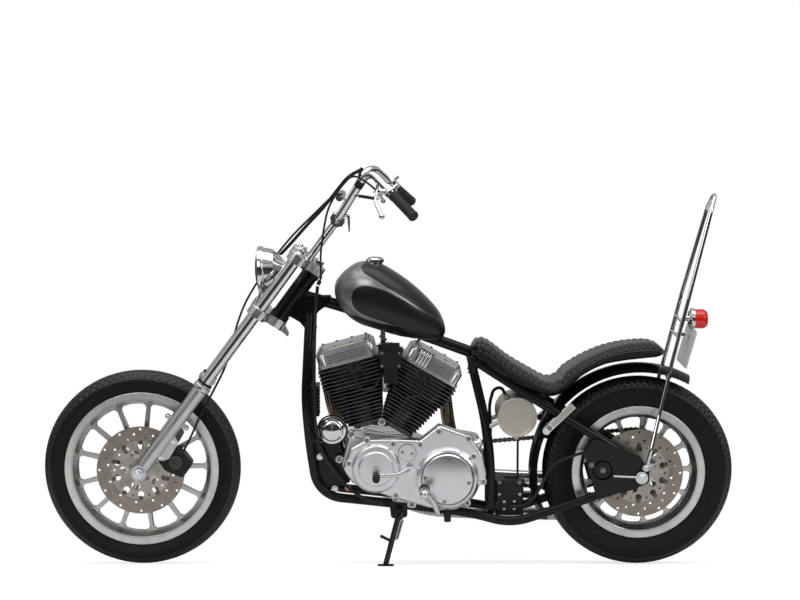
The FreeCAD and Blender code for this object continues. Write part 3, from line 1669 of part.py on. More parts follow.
sissyFoot = size.axle_plate_half + size.sissy_rad + 0.3
sissyLeg = [
    (-14, sissyFoot, 33),
    (-30, sissyFoot, 91.5),
    (-58, 112, 201.5),
    (strutAhead, sissyReach, strutUp),
    (-152, size.fender_half + 8, size.sissy_high - 337),
    (-228, 50, size.sissy_high - 46),
    (-244, 20, size.sissy_high),
]
sissyPoints = sissyLeg + [(x, -y, z) for x, y, z in reversed(sissyLeg)]
sissyShape = tubeShape(sissyPoints, size.sissy_rad, 40)
sissyRoom = tubeShape(sissyPoints, size.sissy_rad + 0.05, 40)
shaped("rear_fender", fender.cut(sissyRoom), axleFrame)
sissyEyes = []
for side in (1, -1):
    sissyEyes.append(
        rod(
            (-14, side * (size.axle_plate_half + 0.05), 33),
            (-14, side * (sissyFoot + size.sissy_rad), 33),
            9,
        )
    )
shaped("sissy_bar", sissyShape.fuse(sissyEyes), axleFrame)

lampBack = Placement(Vector(-165, 0, 507.5), Rotation(Vector(0, 0, 1), 90))
lensBody = turnedBody(
    "lens",
    [
        (0, 16.05),
        ("tail_lamp_rad - 3", 16.05),
        ("tail_lamp_rad", 20, 2),
        ("tail_lamp_rad", 50, 8),
        ("tail_lamp_rad - 8", 62, 8),
        (0, 65),
    ],
)
lensBody.Placement = lampBack
finish(together("tail_lens", [lensBody]), "tail_light", axleFrame)
baseBody = turnedBody(
    "lamp_base",
    [
        (0, 0),
        ("tail_lamp_rad - 8", 0, 3),
        ("tail_lamp_rad + 4", 8, 3),
        ("tail_lamp_rad + 4", 16, 1.5),
        (0, 16),
    ],
)
doc.recompute()
lampBase = baseBody.Shape.copy()
lampBase.Placement = lampBack
lampBase = lampBase.copy()
arms = joined(
    rod((-134, -100, 508.5), (-134, 100, 508.5), 5),
    rod((-134, 0, 508.5), (-170, 0, 508.5), 9),
    rod((-122, -100, 456.5), (-122, 100, 456.5), 5),
    block((-160, -14, 451.5), (-122, 14, 461.5)),
)
for side in (1, -1):
    arms = arms.fuse(rod((-122, side * 62, 456.5), (-134, side * 62, 508.5), 4))
beyondLegs = [block((-300, side * 110 - 24, 400), (0, side * 110 + 24, 600)) for side in (1, -1)]
arms = arms.cut(beyondLegs)
plateTilt = 15.5
plateMiddle = Vector(-161, 0, 417)
plate = roundedBlock(
    (-size.plate_wide / 2, -size.plate_high / 2, -1.5), (size.plate_wide / 2, size.plate_high / 2, 1.5), 9
)
for side in (1, -1):
    plate = plate.cut(rod((side * 80, 50, -5), (side * 80, 50, 5), 3.5))
plate.Placement = Placement(
    plateMiddle,
    Rotation(Vector(0, 1, 0), -90 - plateTilt).multiply(Rotation(Vector(0, 0, 1), -90)),
)
plate = plate.copy()
shaped("licence_plate", plate, axleFrame)
shaped("tail_bracket", arms.fuse(lampBase).cut([sissyRoom, plate]), axleFrame)

# Rear caliper

caliperBody = sideBody(
    "caliper",
    [
        (88, -14, 10),
        (112, -24, 10),
        (158, -8, 14),
        (171, 32, 14),
        (156, 66, 12),
        (124, 66, 14),
        (98, 40, 14),
    ],
    "disc_side - 25",
    "disc_side + 30",
    3,
)
doc.recompute()
discRoom = rod((0, size.disc_side - 7.5, 0), (0, size.disc_side + 7.5, 0), size.disc_rad + 5)
caliper = caliperBody.Shape.cut(discRoom)
boss = rod((127, size.disc_side + 26, 23), (127, size.axle_plate_half + 3, 23), 27)
bossRing = rod((127, size.axle_plate_half + 3, 23), (127, size.axle_plate_half + 6, 23), 20)
rearLug = rod((164, size.disc_side + 20, 40), (164, size.axle_plate_half - size.plate_thick - 0.05, 40), 9)
shaped("rear_caliper", caliper.fuse([boss, bossRing, rearLug]), axleFrame)

# Chain drive


def pitchRadius(teeth):
    return size.chain_pitch / (2 * math.sin(math.pi / teeth))


tipDrop = 4
rootDrop = 9


def toothedDisc(teeth):
    # a toothed disc lying across the machine, its teeth just inside the chain
    tip = pitchRadius(teeth) - tipDrop
    root = pitchRadius(teeth) - rootDrop
    points = []
    for index in range(int(teeth)):
        for share, radius in ((-0.33, root), (-0.14, tip), (0.14, tip), (0.33, root)):
            angle = 2 * math.pi * (index + share) / teeth
            points.append(Vector(radius * math.cos(angle), 0, radius * math.sin(angle)))
    face = Part.Face(Part.makePolygon(points + [points[0]]))
    disc = face.extrude(Vector(0, size.sprocket_thick, 0))
    disc.translate(Vector(0, -size.sprocket_thick / 2, 0))
    return disc


bigSprocket = toothedDisc(size.sprocket_teeth)
bigSprocket.translate(Vector(0, -size.chain_half, 0))
windows = []
for index in range(5):
    turn = math.radians(72 * index + 20)
    middle = Vector(84 * math.cos(turn), 0, 84 * math.sin(turn))
    windows.append(rod(spot(middle, 0, -200, 0), middle, 17))
bigSprocket = bigSprocket.cut(windows)
carrier = rod((0, -size.chain_half + size.sprocket_thick / 2, 0), (0, -size.hub_half - 0.05, 0), 60)
sprocketBolts = []
for index in range(5):
    turn = math.radians(72 * index + 56)
    place = Vector(48 * math.cos(turn), 0, 48 * math.sin(turn))
    sprocketBolts.append(
        rod(spot(place, 0, -size.chain_half - 9, 0), spot(place, 0, -size.chain_half, 0), 7)
    )
axleBore = rod((0, -300, 0), (0, 300, 0), size.axle_rad + size.bearing_gap)
shaped("rear_sprocket", bigSprocket.fuse([carrier] + sprocketBolts).cut(axleBore), axleFrame)

smallSprocket = toothedDisc(size.engine_teeth)
shaftEnd = 17 - 0.05
smallSprocket = smallSprocket.fuse([rod((0, -12, 0), (0, 0, 0), 19), rod((0, 0, 0), (0, shaftEnd, 0), 15)])
shaped("engine_sprocket", smallSprocket, Placement(Vector(*sprocketCentre), Rotation()))

bigRad = pitchRadius(size.sprocket_teeth)
smallRad = pitchRadius(size.engine_teeth)
chainSpan = Vector(sprocketCentre[0] - rearAxle.x, 0, sprocketCentre[2] - rearAxle.z)
chainTurn = math.atan2(chainSpan.z, chainSpan.x)
chainTilt = math.acos((bigRad - smallRad) / chainSpan.Length)
runLong = math.sqrt(chainSpan.Length ** 2 - (bigRad - smallRad) ** 2)
smallWrap = smallRad * 2 * chainTilt
bigWrap = bigRad * 2 * (math.pi - chainTilt)
loopLong = 2 * runLong + smallWrap + bigWrap


def chainPlace(distance):
    # a point of the chain's middle line, its outward direction, and how far a free run is from its end
    upper = chainTurn + chainTilt
    lower = chainTurn - chainTilt
    outUpper = Vector(math.cos(upper), 0, math.sin(upper))
    outLower = Vector(math.cos(lower), 0, math.sin(lower))
    if distance < runLong:
        start = outUpper * bigRad
        end = chainSpan + outUpper * smallRad
        return start + (end - start) * (distance / runLong), outUpper, (distance, runLong - distance)
    distance -= runLong
    if distance < smallWrap:
        angle = upper - distance / smallRad
        out = Vector(math.cos(angle), 0, math.sin(angle))
        return chainSpan + out * smallRad, out, None
    distance -= smallWrap
    if distance < runLong:
        start = chainSpan + outLower * smallRad
        end = outLower * bigRad
        return start + (end - start) * (distance / runLong), outLower, (runLong - distance, distance)
    distance -= runLong
    angle = lower - distance / bigRad
    out = Vector(math.cos(angle), 0, math.sin(angle))
    return out * bigRad, out, None


linkCount = 2 * round(loopLong / size.chain_pitch / 2)
outline = []
hollow = []
wrapDrop = 3
for index in range(2 * linkCount):
    place, out, run = chainPlace(index * loopLong / (2 * linkCount))
    plateHalf = 7.6 if index % 2 == 0 else 4.6
    outline.append(place + out * plateHalf)
    free = run is not None and run[0] > 36 and run[1] > 26
    hollow.append(place - out * (plateHalf if free else wrapDrop))
chainRoom = Part.Face(Part.makePolygon(hollow + [hollow[0]]))
chainFace = Part.Face(Part.makePolygon(outline + [outline[0]])).cut(chainRoom)
chain = chainFace.extrude(Vector(0, size.chain_wide, 0))
chain.translate(Vector(0, -size.chain_half - size.chain_wide / 2, 0))
shaped("chain", chain, axleFrame)

# Hoses and cables that the frame holds

heldRoutes = [
    (
        5.5,
        [
            spot(oilPlace, 36.5, 30, 67),
            spot(oilPlace, 50, 30, 92),
            spot(oilPlace, 76, 30, 84),
            spot(oilPlace, 90, 26, 30),
            spot(oilPlace, 84, 24, -40),
            spot(oilPlace, 88, 24, -108),
        ],
    ),
    (
        5.5,
        [
            spot(neckFoot, -131, 58, 108),
            spot(neckFoot, -124, 69, 31),
            spot(crank, 201, 112.5, 388),
            spot(crank, 202, 116, 257),
            spot(crank, 199, 117, 142),
            spot(crank, 187, 118, 68),
            spot(crank, 160, 118, 14),
            spot(crank, 104, 120, -60),
            spot(crank, 37, 128, -108),
            spot(crank, -30, 131, -122),
        ],
    ),
    (
        5,
        [
            spot(rearAxle, 150, 100, 72),
            spot(rearAxle, 190, 92, 74),
            spot(rearAxle, 290, 94, 40),
            spot(rearAxle, 331, 90, -50),
            spot(rearAxle, 366, 82, -104),
            spot(rearAxle, 430, 76, -112),
        ],
    ),
]
held = [tubeShape(points, radius) for radius, points in heldRoutes]


def plugEnd(sign):
    # the outer end of a spark plug, in the crankcase's own frame
    tip = Vector(sign * size.plug_across, size.plug_end + 0.9, size.head_height - size.plug_drop)
    frameHere = cylinderFrames["front" if sign == 1 else "rear"]
    return crankFrame.inverse().multVec(frameHere.multVec(tip))


frontPlug = plugEnd(1)
rearPlug = plugEnd(-1)
leadOut = coilSide + 24
frontLead = [
    frontPlug,
    spot(frontPlug, 0, 22, -2),
    spot(frontPlug, -12, 22, -56),
    (39, leadOut, 253),
    (4, leadOut, 262),
    (-10, leadOut - 5, 290),
    (-23.6, leadOut - 8, 304),
]
rearLead = [
    rearPlug,
    spot(rearPlug, -4, 22, -2),
    spot(rearPlug, -12, 22, -28),
    (-140, leadOut, 234),
    (-95, leadOut, 228),
    (-62, leadOut - 6, 250),
    (-58, leadOut - 8, 273.4),
]
for route in (frontLead, rearLead):
    lead = tubeShape([tuple(point) for point in route], size.lead_rad, 12)
    lead.Placement = crankFrame
    held.append(lead)
shaped("hoses_and_cables", Part.makeCompound(held))

# Side stand, drawn down

pivotPlace = crank + standPivot
leanTurn = math.radians(size.lean_angle)
soleThick = 6
footPlace = Vector(
    pivotPlace.x + 43,
    size.stand_foot_out,
    (size.stand_foot_out * math.sin(leanTurn) + soleThick) / math.cos(leanTurn),
)
leg = rod(tuple(pivotPlace), tuple(footPlace), size.stand_leg_rad)
barrel = rod(tuple(pivotPlace - standAxis * 13), tuple(pivotPlace + standAxis * 13), 13)
capBolt = rod(tuple(pivotPlace + standAxis * 13), tuple(pivotPlace + standAxis * 19), 9)
sole = roundedBlock((-26, -18, -soleThick), (26, 24, 0), 10)
sole.Placement = Placement(footPlace, Rotation(Vector(1, 0, 0), size.lean_angle))
toe = rod(tuple(pivotPlace + (footPlace - pivotPlace) * 0.55), spot(pivotPlace, 60, 62, -60), 5)
shaped("side_stand", joined(leg, barrel, capBolt, sole.copy(), toe))

# Write the sub-parts

doc.recompute()
os.makedirs("parts", exist_ok=True)
for item in doc.Objects:
    if "Invalid" in item.State or "Error" in item.State:
        raise RuntimeError("%s in %s failed" % (item.Label, [user.Label for user in item.InList]))
whole = FreeCAD.BoundBox()
for piece in subParts:
    if piece.Shape.isNull() or not piece.Shape.isValid() or not piece.Shape.Solids:
        raise RuntimeError("%s has no valid shape" % piece.Label)
    whole.add(piece.Shape.BoundBox)
for piece in subParts:
    piece.Shape.exportStep("parts/%s.step" % piece.Label)
print("%d sub-parts, wheelbase %.0f mm, box %s" % (len(subParts), frontAxle.x, whole))
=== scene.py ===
import math

import bmesh
import bpy
import numpy as np
from mathutils import Matrix, Vector


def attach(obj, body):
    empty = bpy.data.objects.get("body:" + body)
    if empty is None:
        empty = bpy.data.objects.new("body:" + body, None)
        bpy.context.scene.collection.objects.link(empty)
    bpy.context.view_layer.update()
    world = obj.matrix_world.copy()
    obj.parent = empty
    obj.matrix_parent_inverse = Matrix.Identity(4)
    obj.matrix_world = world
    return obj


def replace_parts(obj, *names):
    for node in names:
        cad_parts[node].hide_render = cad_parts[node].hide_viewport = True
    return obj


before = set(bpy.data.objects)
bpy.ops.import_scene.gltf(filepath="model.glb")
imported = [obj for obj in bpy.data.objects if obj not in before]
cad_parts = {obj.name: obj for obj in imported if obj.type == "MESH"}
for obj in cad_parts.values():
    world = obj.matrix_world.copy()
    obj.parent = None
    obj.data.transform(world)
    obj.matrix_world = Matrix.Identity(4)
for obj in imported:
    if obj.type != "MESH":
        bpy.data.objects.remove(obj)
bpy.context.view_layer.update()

scene = bpy.context.scene
scene.view_settings.view_transform = "Standard"

# The machine is drawn upright in millimetres, then leans on its side stand
machine = {
    "lean": 11, "shift": (0.83, 0.181542, 0), "crank": (871, 0, 350), "rearAxle": (0, 0, 318.46), "rake": 36.4,
    "steeringFoot": (1595.27, 0, 287.66), "axleAhead": (68, 0, 0), "cylinderTilt": -7.5, "cylinderSpread": 22.5,
}
leanAngle = math.radians(machine["lean"])
rake = math.radians(machine["rake"])
upright = (Matrix.Translation(-Vector(machine["shift"])) @ Matrix.Rotation(-leanAngle, 4, "X")
           @ Matrix.Scale(0.001, 4))
crankFrame = upright @ Matrix.Translation(machine["crank"])
rearFrame = upright @ Matrix.Translation(machine["rearAxle"])
forkFrame = upright @ Matrix.Translation(machine["steeringFoot"]) @ Matrix.Rotation(-rake, 4, "Y")
frontFrame = forkFrame @ Matrix.Translation(machine["axleAhead"]) @ Matrix.Rotation(rake, 4, "Y")


def cylinderFrame(sign):
    tilt = machine["cylinderTilt"] + machine["cylinderSpread"] * sign
    return crankFrame @ Matrix.Rotation(math.radians(tilt), 4, "Y")


def at(place, turn=(0, 0, 0)):
    spin = Matrix.Identity(4)
    for angle, axis in zip(turn, "XYZ"):
        spin = Matrix.Rotation(math.radians(angle), 4, axis) @ spin
    return Matrix.Translation(place) @ spin


# Camera, at the photograph's viewing angle
cameraLook = {"place": (-0.018, 6.8185, 0.312), "up": 4.62, "turn": -0.17, "focal": 93.1, "shift": 0.003}
cameraData = bpy.data.cameras.new("camera")
cameraData.lens = cameraLook["focal"]
cameraData.sensor_width = 36
cameraData.clip_end = 60
cameraData.shift_y = cameraLook["shift"]
camera = bpy.data.objects.new("camera", cameraData)
camera.location = cameraLook["place"]
camera.rotation_euler = (math.radians(90 + cameraLook["up"]), 0, math.radians(180 + cameraLook["turn"]))
scene.collection.objects.link(camera)
scene.camera = camera
print("camera set")

# Soft studio light: each lamp has its place, aim, width, height and power
studio = {
    "lamps": {
        "topSoftbox": ((0.1, 0.6, 3.0), (0, 0, 0.5), 4.2, 1.8, 46),
        "keySoftbox": ((1.9, 3.6, 2.5), (0, 0, 0.6), 2.0, 1.6, 34),
        "sideSoftbox": ((-2.8, 2.4, 1.9), (0, 0, 0.6), 1.4, 1.8, 24),
    },
    "world": 0.4, "roomTone": (0.95, 0.97, 1.0), "floorTone": 0.8, "floorGlow": 0.62, "fadeFrom": 1.25, "fadeTo": 1.9,
    # what metal sees from the ground to the sky; the dark strip at the horizon gives chrome its contrast
    "reflected": ((0.4, 0.14), (0.47, 0.05), (0.53, 0.1), (0.6, 0.9), (0.66, 1.6), (0.72, 0.7), (0.86, 1.1)),
}
for name, (place, aim, wide, high, power) in studio["lamps"].items():
    lamp = bpy.data.lights.new(name, "AREA")
    lamp.shape = "RECTANGLE"
    lamp.size, lamp.size_y, lamp.energy = wide, high, power
    item = bpy.data.objects.new(name, lamp)
    item.location = place
    item.rotation_euler = (Vector(aim) - Vector(place)).to_track_quat("-Z", "Y").to_euler()
    scene.collection.objects.link(item)


# Node helpers: a socket given as a value is linked, anything else is set
def fillInputs(tree, node, inputs):
    for key, value in inputs.items():
        if hasattr(value, "is_linked"):
            tree.links.new(value, node.inputs[key])
        else:
            node.inputs[key].default_value = value


def addNode(tree, kind, inputs=None, **settings):
    node = tree.nodes.new("ShaderNode" + kind)
    for label, value in settings.items():
        setattr(node, label, value)
    fillInputs(tree, node, inputs or {})
    return node


def mathNode(tree, operation, *values, clamp=False):
    return addNode(tree, "Math", dict(enumerate(values)), operation=operation, use_clamp=clamp).outputs[0]


def vectorNode(tree, operation, *values):
    node = addNode(tree, "VectorMath", dict(enumerate(values)), operation=operation)
    return node.outputs["Value" if operation in ("LENGTH", "DOT_PRODUCT") else "Vector"]


def leanUpright(tree, vector):
    # takes the machine's lean out of a vector
    return addNode(tree, "VectorRotate", {"Vector": vector, "Angle": leanAngle}, rotation_type="X_AXIS").outputs[0]


def objectPlace(tree):
    return addNode(tree, "TexCoord").outputs["Object"]


def axisOf(tree, vector, axis):
    return addNode(tree, "SeparateXYZ", {0: vector}).outputs[axis]


def noiseNode(tree, coordinate, scale, detail=3.0, rough=0.5):
    inputs = {"Vector": coordinate, "Scale": scale, "Detail": detail, "Roughness": rough}
    return addNode(tree, "TexNoise", inputs).outputs["Fac"]


def mapTo(tree, value, low, high, start=0.0, end=1.0):
    inputs = {"Value": value, "From Min": start, "From Max": end, "To Min": low, "To Max": high}
    return addNode(tree, "MapRange", inputs).outputs[0]


def colourMix(tree, factor, first, second):
    first, second = [tone if hasattr(tone, "is_linked") else (*tone, 1) for tone in (first, second)]
    node = addNode(tree, "Mix", {"Factor": factor, "A": first, "B": second}, data_type="RGBA")
    return node.outputs["Result"]


def colourRamp(tree, value, stops):
    node = addNode(tree, "ValToRGB", {0: value})
    elements = node.color_ramp.elements
    for element, (position, tone) in zip(elements, (stops[0], stops[-1])):
        element.position, element.color = position, (*tone, 1)
    for position, tone in stops[1:-1]:
        elements.new(position).color = (*tone, 1)
    return node.outputs[0]


def addBump(tree, shader, height, strength, distance):
    bump = addNode(tree, "Bump", {"Height": height, "Strength": strength, "Distance": distance})
    tree.links.new(bump.outputs[0], shader.inputs["Normal"])


# Pale room: white to the camera and through glass, striped in reflections
world = bpy.data.worlds.new("paleRoom")
scene.world = world
world.use_nodes = True
room = world.node_tree
room.nodes.clear()
rays = addNode(room, "LightPath").outputs
seen = mathNode(room, "MAXIMUM", rays["Is Camera Ray"], rays["Is Transmission Ray"])
skyward = axisOf(room, addNode(room, "TexCoord").outputs["Generated"], "Z")
bands = [(position, (tone, tone, tone * 1.02)) for position, tone in studio["reflected"]]
bands = [(0.0, (0.16, 0.155, 0.15)), *bands, (1.0, (1.0, 1.0, 1.0))]
reflected = colourRamp(room, mathNode(room, "MULTIPLY_ADD", skyward, 0.5, 0.5), bands)
shade = colourMix(room, rays["Is Glossy Ray"], studio["roomTone"], reflected)
roomLight = addNode(room, "Background", {"Color": shade, "Strength": studio["world"]})
plainWhite = addNode(room, "Background", {"Color": (1, 1, 1, 1)})
roomMix = addNode(room, "MixShader", {0: seen, 1: roomLight.outputs[0], 2: plainWhite.outputs[0]})
addNode(room, "OutputWorld", {0: roomMix.outputs[0]})
print("room lit")


# Shared effects as node groups
def newGroup(name, inputs, outputs):
    group = bpy.data.node_groups.new(name, "ShaderNodeTree")
    for label, value in inputs.items():
        kind = "NodeSocketVector" if isinstance(value, tuple) else "NodeSocketFloat"
        group.interface.new_socket(label, in_out="INPUT", socket_type=kind).default_value = value
    for label in outputs:
        group.interface.new_socket(label, in_out="OUTPUT", socket_type="NodeSocketFloat")
    return group, group.nodes.new("NodeGroupInput").outputs, group.nodes.new("NodeGroupOutput").inputs


def placeGroup(tree, group, values):
    return addNode(tree, "Group", values, node_tree=group).outputs


grainInputs = {"Scale": 400.0, "Stretch": (1, 1, 1), "Patch": 12.0}
grainGroup, given, result = newGroup("surfaceGrain", grainInputs, ("Grain", "Patches"))
coordinate = objectPlace(grainGroup)
stretched = vectorNode(grainGroup, "MULTIPLY", coordinate, given["Stretch"])
grainGroup.links.new(noiseNode(grainGroup, stretched, given["Scale"], 2.0), result["Grain"])
grainGroup.links.new(noiseNode(grainGroup, coordinate, given["Patch"], 4.0, 0.6), result["Patches"])

dustGroup, given, result = newGroup("roadDust", {"Low": 0.0, "High": 0.6, "Amount": 0.3}, ("Dust",))
coordinate = objectPlace(dustGroup)
fade = mapTo(dustGroup, axisOf(dustGroup, coordinate, "Z"), 1, 0, given["Low"], given["High"])
speckle = noiseNode(dustGroup, coordinate, 60.0, 6.0, 0.7)
dusty = mathNode(dustGroup, "MULTIPLY", mathNode(dustGroup, "MULTIPLY", fade, speckle), given["Amount"])
dustGroup.links.new(dusty, result["Dust"])

ringGroup, given, result = newGroup("turnedRings", {"Middle": (0, 0, 0), "Rings": 900.0}, ("Rings", "Radius"))
outward = leanUpright(ringGroup, vectorNode(ringGroup, "SUBTRACT", objectPlace(ringGroup), given["Middle"]))
radius = vectorNode(ringGroup, "LENGTH", vectorNode(ringGroup, "MULTIPLY", outward, (1, 0, 1)))
rings = addNode(ringGroup, "TexNoise", {"W": radius, "Scale": given["Rings"], "Detail": 4}, noise_dimensions="1D")
ringGroup.links.new(rings.outputs["Fac"], result["Rings"])
ringGroup.links.new(radius, result["Radius"])

# Painted highlight: lighter on faces that turn across the axis, as the fins' outer edges do, broken up in patches
edgeHighlightGroup, given, result = newGroup("finEdgeHighlight", {"Axis": (0, 0, 1), "Patches": 0.5}, ("PaintedHighlight",))
faceNormal = addNode(edgeHighlightGroup, "TexCoord").outputs["Normal"]
facingUp = mathNode(edgeHighlightGroup, "ABSOLUTE", vectorNode(edgeHighlightGroup, "DOT_PRODUCT", faceNormal, given["Axis"]))
edge = mapTo(edgeHighlightGroup, facingUp, 1, 0, 0.1, 0.5)
patchy = mapTo(edgeHighlightGroup, given["Patches"], 0.25, 1, 0.35, 0.65)
edgeHighlightGroup.links.new(mathNode(edgeHighlightGroup, "MULTIPLY", edge, patchy, clamp=True), result["PaintedHighlight"])

poreGroup, given, result = newGroup("hidePores", {"Scale": 620.0}, ("Pores",))
pores = addNode(poreGroup, "TexVoronoi", {"Vector": objectPlace(poreGroup), "Scale": given["Scale"]})
poreGroup.links.new(pores.outputs["Distance"], result["Pores"])


def newMaterial(name):
    material = bpy.data.materials.new(name)
    material.use_nodes = True
    return material, material.node_tree, material.node_tree.nodes["Principled BSDF"]


def finishMaterial(name, look):
    # colour with patches and dust, roughness that varies, and a fine grain in the normal
    material, tree, shader = newMaterial(name)
    grain = placeGroup(tree, grainGroup, {"Scale": look["grain"], "Stretch": look.get("stretch", (1, 1, 1)),
                                          "Patch": look.get("patch", 14.0)})
    colour = colourMix(tree, mapTo(tree, grain["Patches"], 0, 1, 0.3, 0.7), look["colour"], look["second"])
    rough = mapTo(tree, grain["Patches"], *look["rough"], 0.3, 0.7)
    if look.get("dust"):
        dust = placeGroup(tree, dustGroup, {"High": look.get("dustHigh", 0.7), "Amount": look["dust"]})["Dust"]
        colour = colourMix(tree, dust, colour, look.get("dustTone", (0.32, 0.29, 0.25)))
        rough = mathNode(tree, "ADD", rough, mathNode(tree, "MULTIPLY", dust, 0.5), clamp=True)
    fillInputs(tree, shader, {
        "Base Color": colour, "Roughness": rough, "Metallic": look.get("metal", 0.0),
        "Specular IOR Level": look.get("specular", 0.5), "Coat Weight": look.get("coat", 0.0),
        "Coat Roughness": look.get("coatRough", 0.05),
    })
    addBump(tree, shader, grain["Grain"], look.get("bump", 0.1), look.get("deep", 0.0002))
    return material


# Finishes: two tones, a span of roughness, and the scale and depth of the grain
looks = {
    "chrome": {"colour": (0.83, 0.83, 0.84), "second": (0.74, 0.745, 0.76), "rough": (0.035, 0.11), "metal": 1.0,
               "grain": 120.0, "bump": 0.03, "deep": 0.0003, "patch": 22.0, "dust": 0.1, "dustHigh": 0.5},
    "frameBlack": {"colour": (0.004, 0.004, 0.0045), "second": (0.007, 0.007, 0.008), "rough": (0.14, 0.24),
                   "coat": 0.2, "coatRough": 0.04, "specular": 0.14, "grain": 90.0, "bump": 0.02, "deep": 0.0003,
                   "dust": 0.05},
    "satinBlack": {"colour": (0.008, 0.008, 0.009), "second": (0.014, 0.014, 0.015), "rough": (0.34, 0.5),
                   "grain": 700.0, "bump": 0.25, "deep": 0.0003, "dust": 0.08, "specular": 0.22},
    "castSilver": {"colour": (0.60, 0.61, 0.62), "second": (0.68, 0.69, 0.70), "rough": (0.28, 0.36), "metal": 1.0,
                   "grain": 650.0, "bump": 0.14, "deep": 0.0002, "patch": 12.0, "dust": 0.06},
    "polishedAlloy": {"colour": (0.82, 0.83, 0.85), "second": (0.76, 0.77, 0.79), "rough": (0.26, 0.34), "metal": 1.0,
                      "grain": 240.0, "bump": 0.03, "deep": 0.0002, "patch": 9.0},
    "satinAlloy": {"colour": (0.70, 0.705, 0.715), "second": (0.62, 0.625, 0.64), "rough": (0.24, 0.38), "metal": 1.0,
                   "grain": 500.0, "stretch": (1, 1, 0.2), "bump": 0.12, "deep": 0.0002, "patch": 18.0, "dust": 0.12},
    "brushedBeige": {"colour": (0.64, 0.60, 0.52), "second": (0.55, 0.515, 0.44), "rough": (0.32, 0.45), "metal": 0.85,
                     "grain": 900.0, "stretch": (1, 1, 0.05), "bump": 0.2, "deep": 0.0002},
    "darkSteel": {"colour": (0.10, 0.095, 0.09), "second": (0.19, 0.17, 0.15), "rough": (0.32, 0.5), "metal": 1.0,
                  "grain": 500.0, "bump": 0.2, "deep": 0.0002, "dust": 0.25},
    "boltSteel": {"colour": (0.33, 0.33, 0.34), "second": (0.2, 0.2, 0.21), "rough": (0.25, 0.42), "metal": 1.0,
                  "grain": 400.0, "bump": 0.1, "deep": 0.0001},
    "rubber": {"colour": (0.008, 0.008, 0.009), "second": (0.014, 0.014, 0.015), "rough": (0.45, 0.62),
               "grain": 600.0, "bump": 0.2, "deep": 0.0002, "dust": 0.1, "specular": 0.28},
    "tyreRubber": {"colour": (0.004, 0.004, 0.0045), "second": (0.007, 0.007, 0.0075), "rough": (0.42, 0.6),
                   "grain": 520.0, "bump": 0.2, "deep": 0.0003, "patch": 9.0, "dust": 0.1, "dustHigh": 0.6,
                   "dustTone": (0.07, 0.066, 0.06), "specular": 0.2},
    "gripRubber": {"colour": (0.02, 0.0185, 0.0185), "second": (0.032, 0.03, 0.029), "rough": (0.45, 0.6),
                   "grain": 800.0, "bump": 0.2, "deep": 0.0002, "specular": 0.3},
    "creamGasket": {"colour": (0.66, 0.62, 0.52), "second": (0.58, 0.54, 0.45), "rough": (0.5, 0.7),
                    "grain": 600.0, "bump": 0.2, "deep": 0.0003},
    "plateMetal": {"colour": (0.72, 0.72, 0.70), "second": (0.66, 0.66, 0.64), "rough": (0.35, 0.5), "metal": 0.2,
                   "grain": 300.0, "bump": 0.06, "deep": 0.0002},
    "redPaint": {"colour": (0.55, 0.02, 0.015), "second": (0.45, 0.015, 0.01), "rough": (0.25, 0.35), "coat": 0.4,
                 "grain": 300.0, "bump": 0.05, "deep": 0.0002},
    "copper": {"colour": (0.62, 0.33, 0.20), "second": (0.45, 0.22, 0.13), "rough": (0.28, 0.45), "metal": 1.0,
               "grain": 400.0, "bump": 0.1, "deep": 0.0002},
}
# Tread band: a little lighter and bluer than the walls, a painted sheen for the highlights along the blocks, with more
# specular
looks["treadRubber"] = {**looks["tyreRubber"], "colour": (0.009, 0.0095, 0.0105), "second": (0.013, 0.0135, 0.0145),
                        "rough": (0.36, 0.46), "specular": 0.5}
looks["pipingLeather"] = {"colour": (0.014, 0.012, 0.012), "second": (0.024, 0.021, 0.02), "rough": (0.3, 0.42),
                          "grain": 500.0, "bump": 0.2}
looks["thread"] = {"colour": (0.05, 0.045, 0.042), "second": (0.08, 0.07, 0.065), "rough": (0.6, 0.8),
                   "grain": 2000.0, "bump": 0.4}
paints = {name: finishMaterial(name, look) for name, look in looks.items()}

# Exhaust metal: bright chrome low down, then straw, and burnt dark near the heads
exhaustLook = {
    "low": 0.25, "high": 0.66, "rough": (0.08, 0.3),
    "heat": [(0.0, (0.80, 0.80, 0.81)), (0.35, (0.80, 0.78, 0.74)), (0.55, (0.42, 0.34, 0.25)),
             (0.72, (0.15, 0.11, 0.085)), (1.0, (0.05, 0.04, 0.035))],
}
paints["heatedChrome"], tree, shader = newMaterial("heatedChrome")
coordinate = objectPlace(tree)
patchy = noiseNode(tree, coordinate, 18.0, 3.0)
level = mapTo(tree, axisOf(tree, coordinate, "Z"), 0, 1, exhaustLook["low"], exhaustLook["high"])
hot = mathNode(tree, "ADD", level, mapTo(tree, patchy, -0.1, 0.1))
fillInputs(tree, shader, {"Base Color": colourRamp(tree, hot, exhaustLook["heat"]), "Metallic": 1.0,
                          "Roughness": mapTo(tree, patchy, *exhaustLook["rough"])})

# Turned metal of discs and wheels, one tone inside the edge radius and another beyond it
turnedLook = {
    "Disc": {"inner": (0.50, 0.46, 0.42), "outer": (0.36, 0.315, 0.27), "edge": (0.099, 0.099), "rings": 1400.0,
             "rough": (0.26, 0.42), "bump": 0.2},
    "Wheel": {"inner": (0.60, 0.585, 0.56), "outer": (0.79, 0.78, 0.76), "edge": (0.2365, 0.2015), "rings": 500.0,
              "rough": (0.22, 0.32), "bump": 0.05},
}


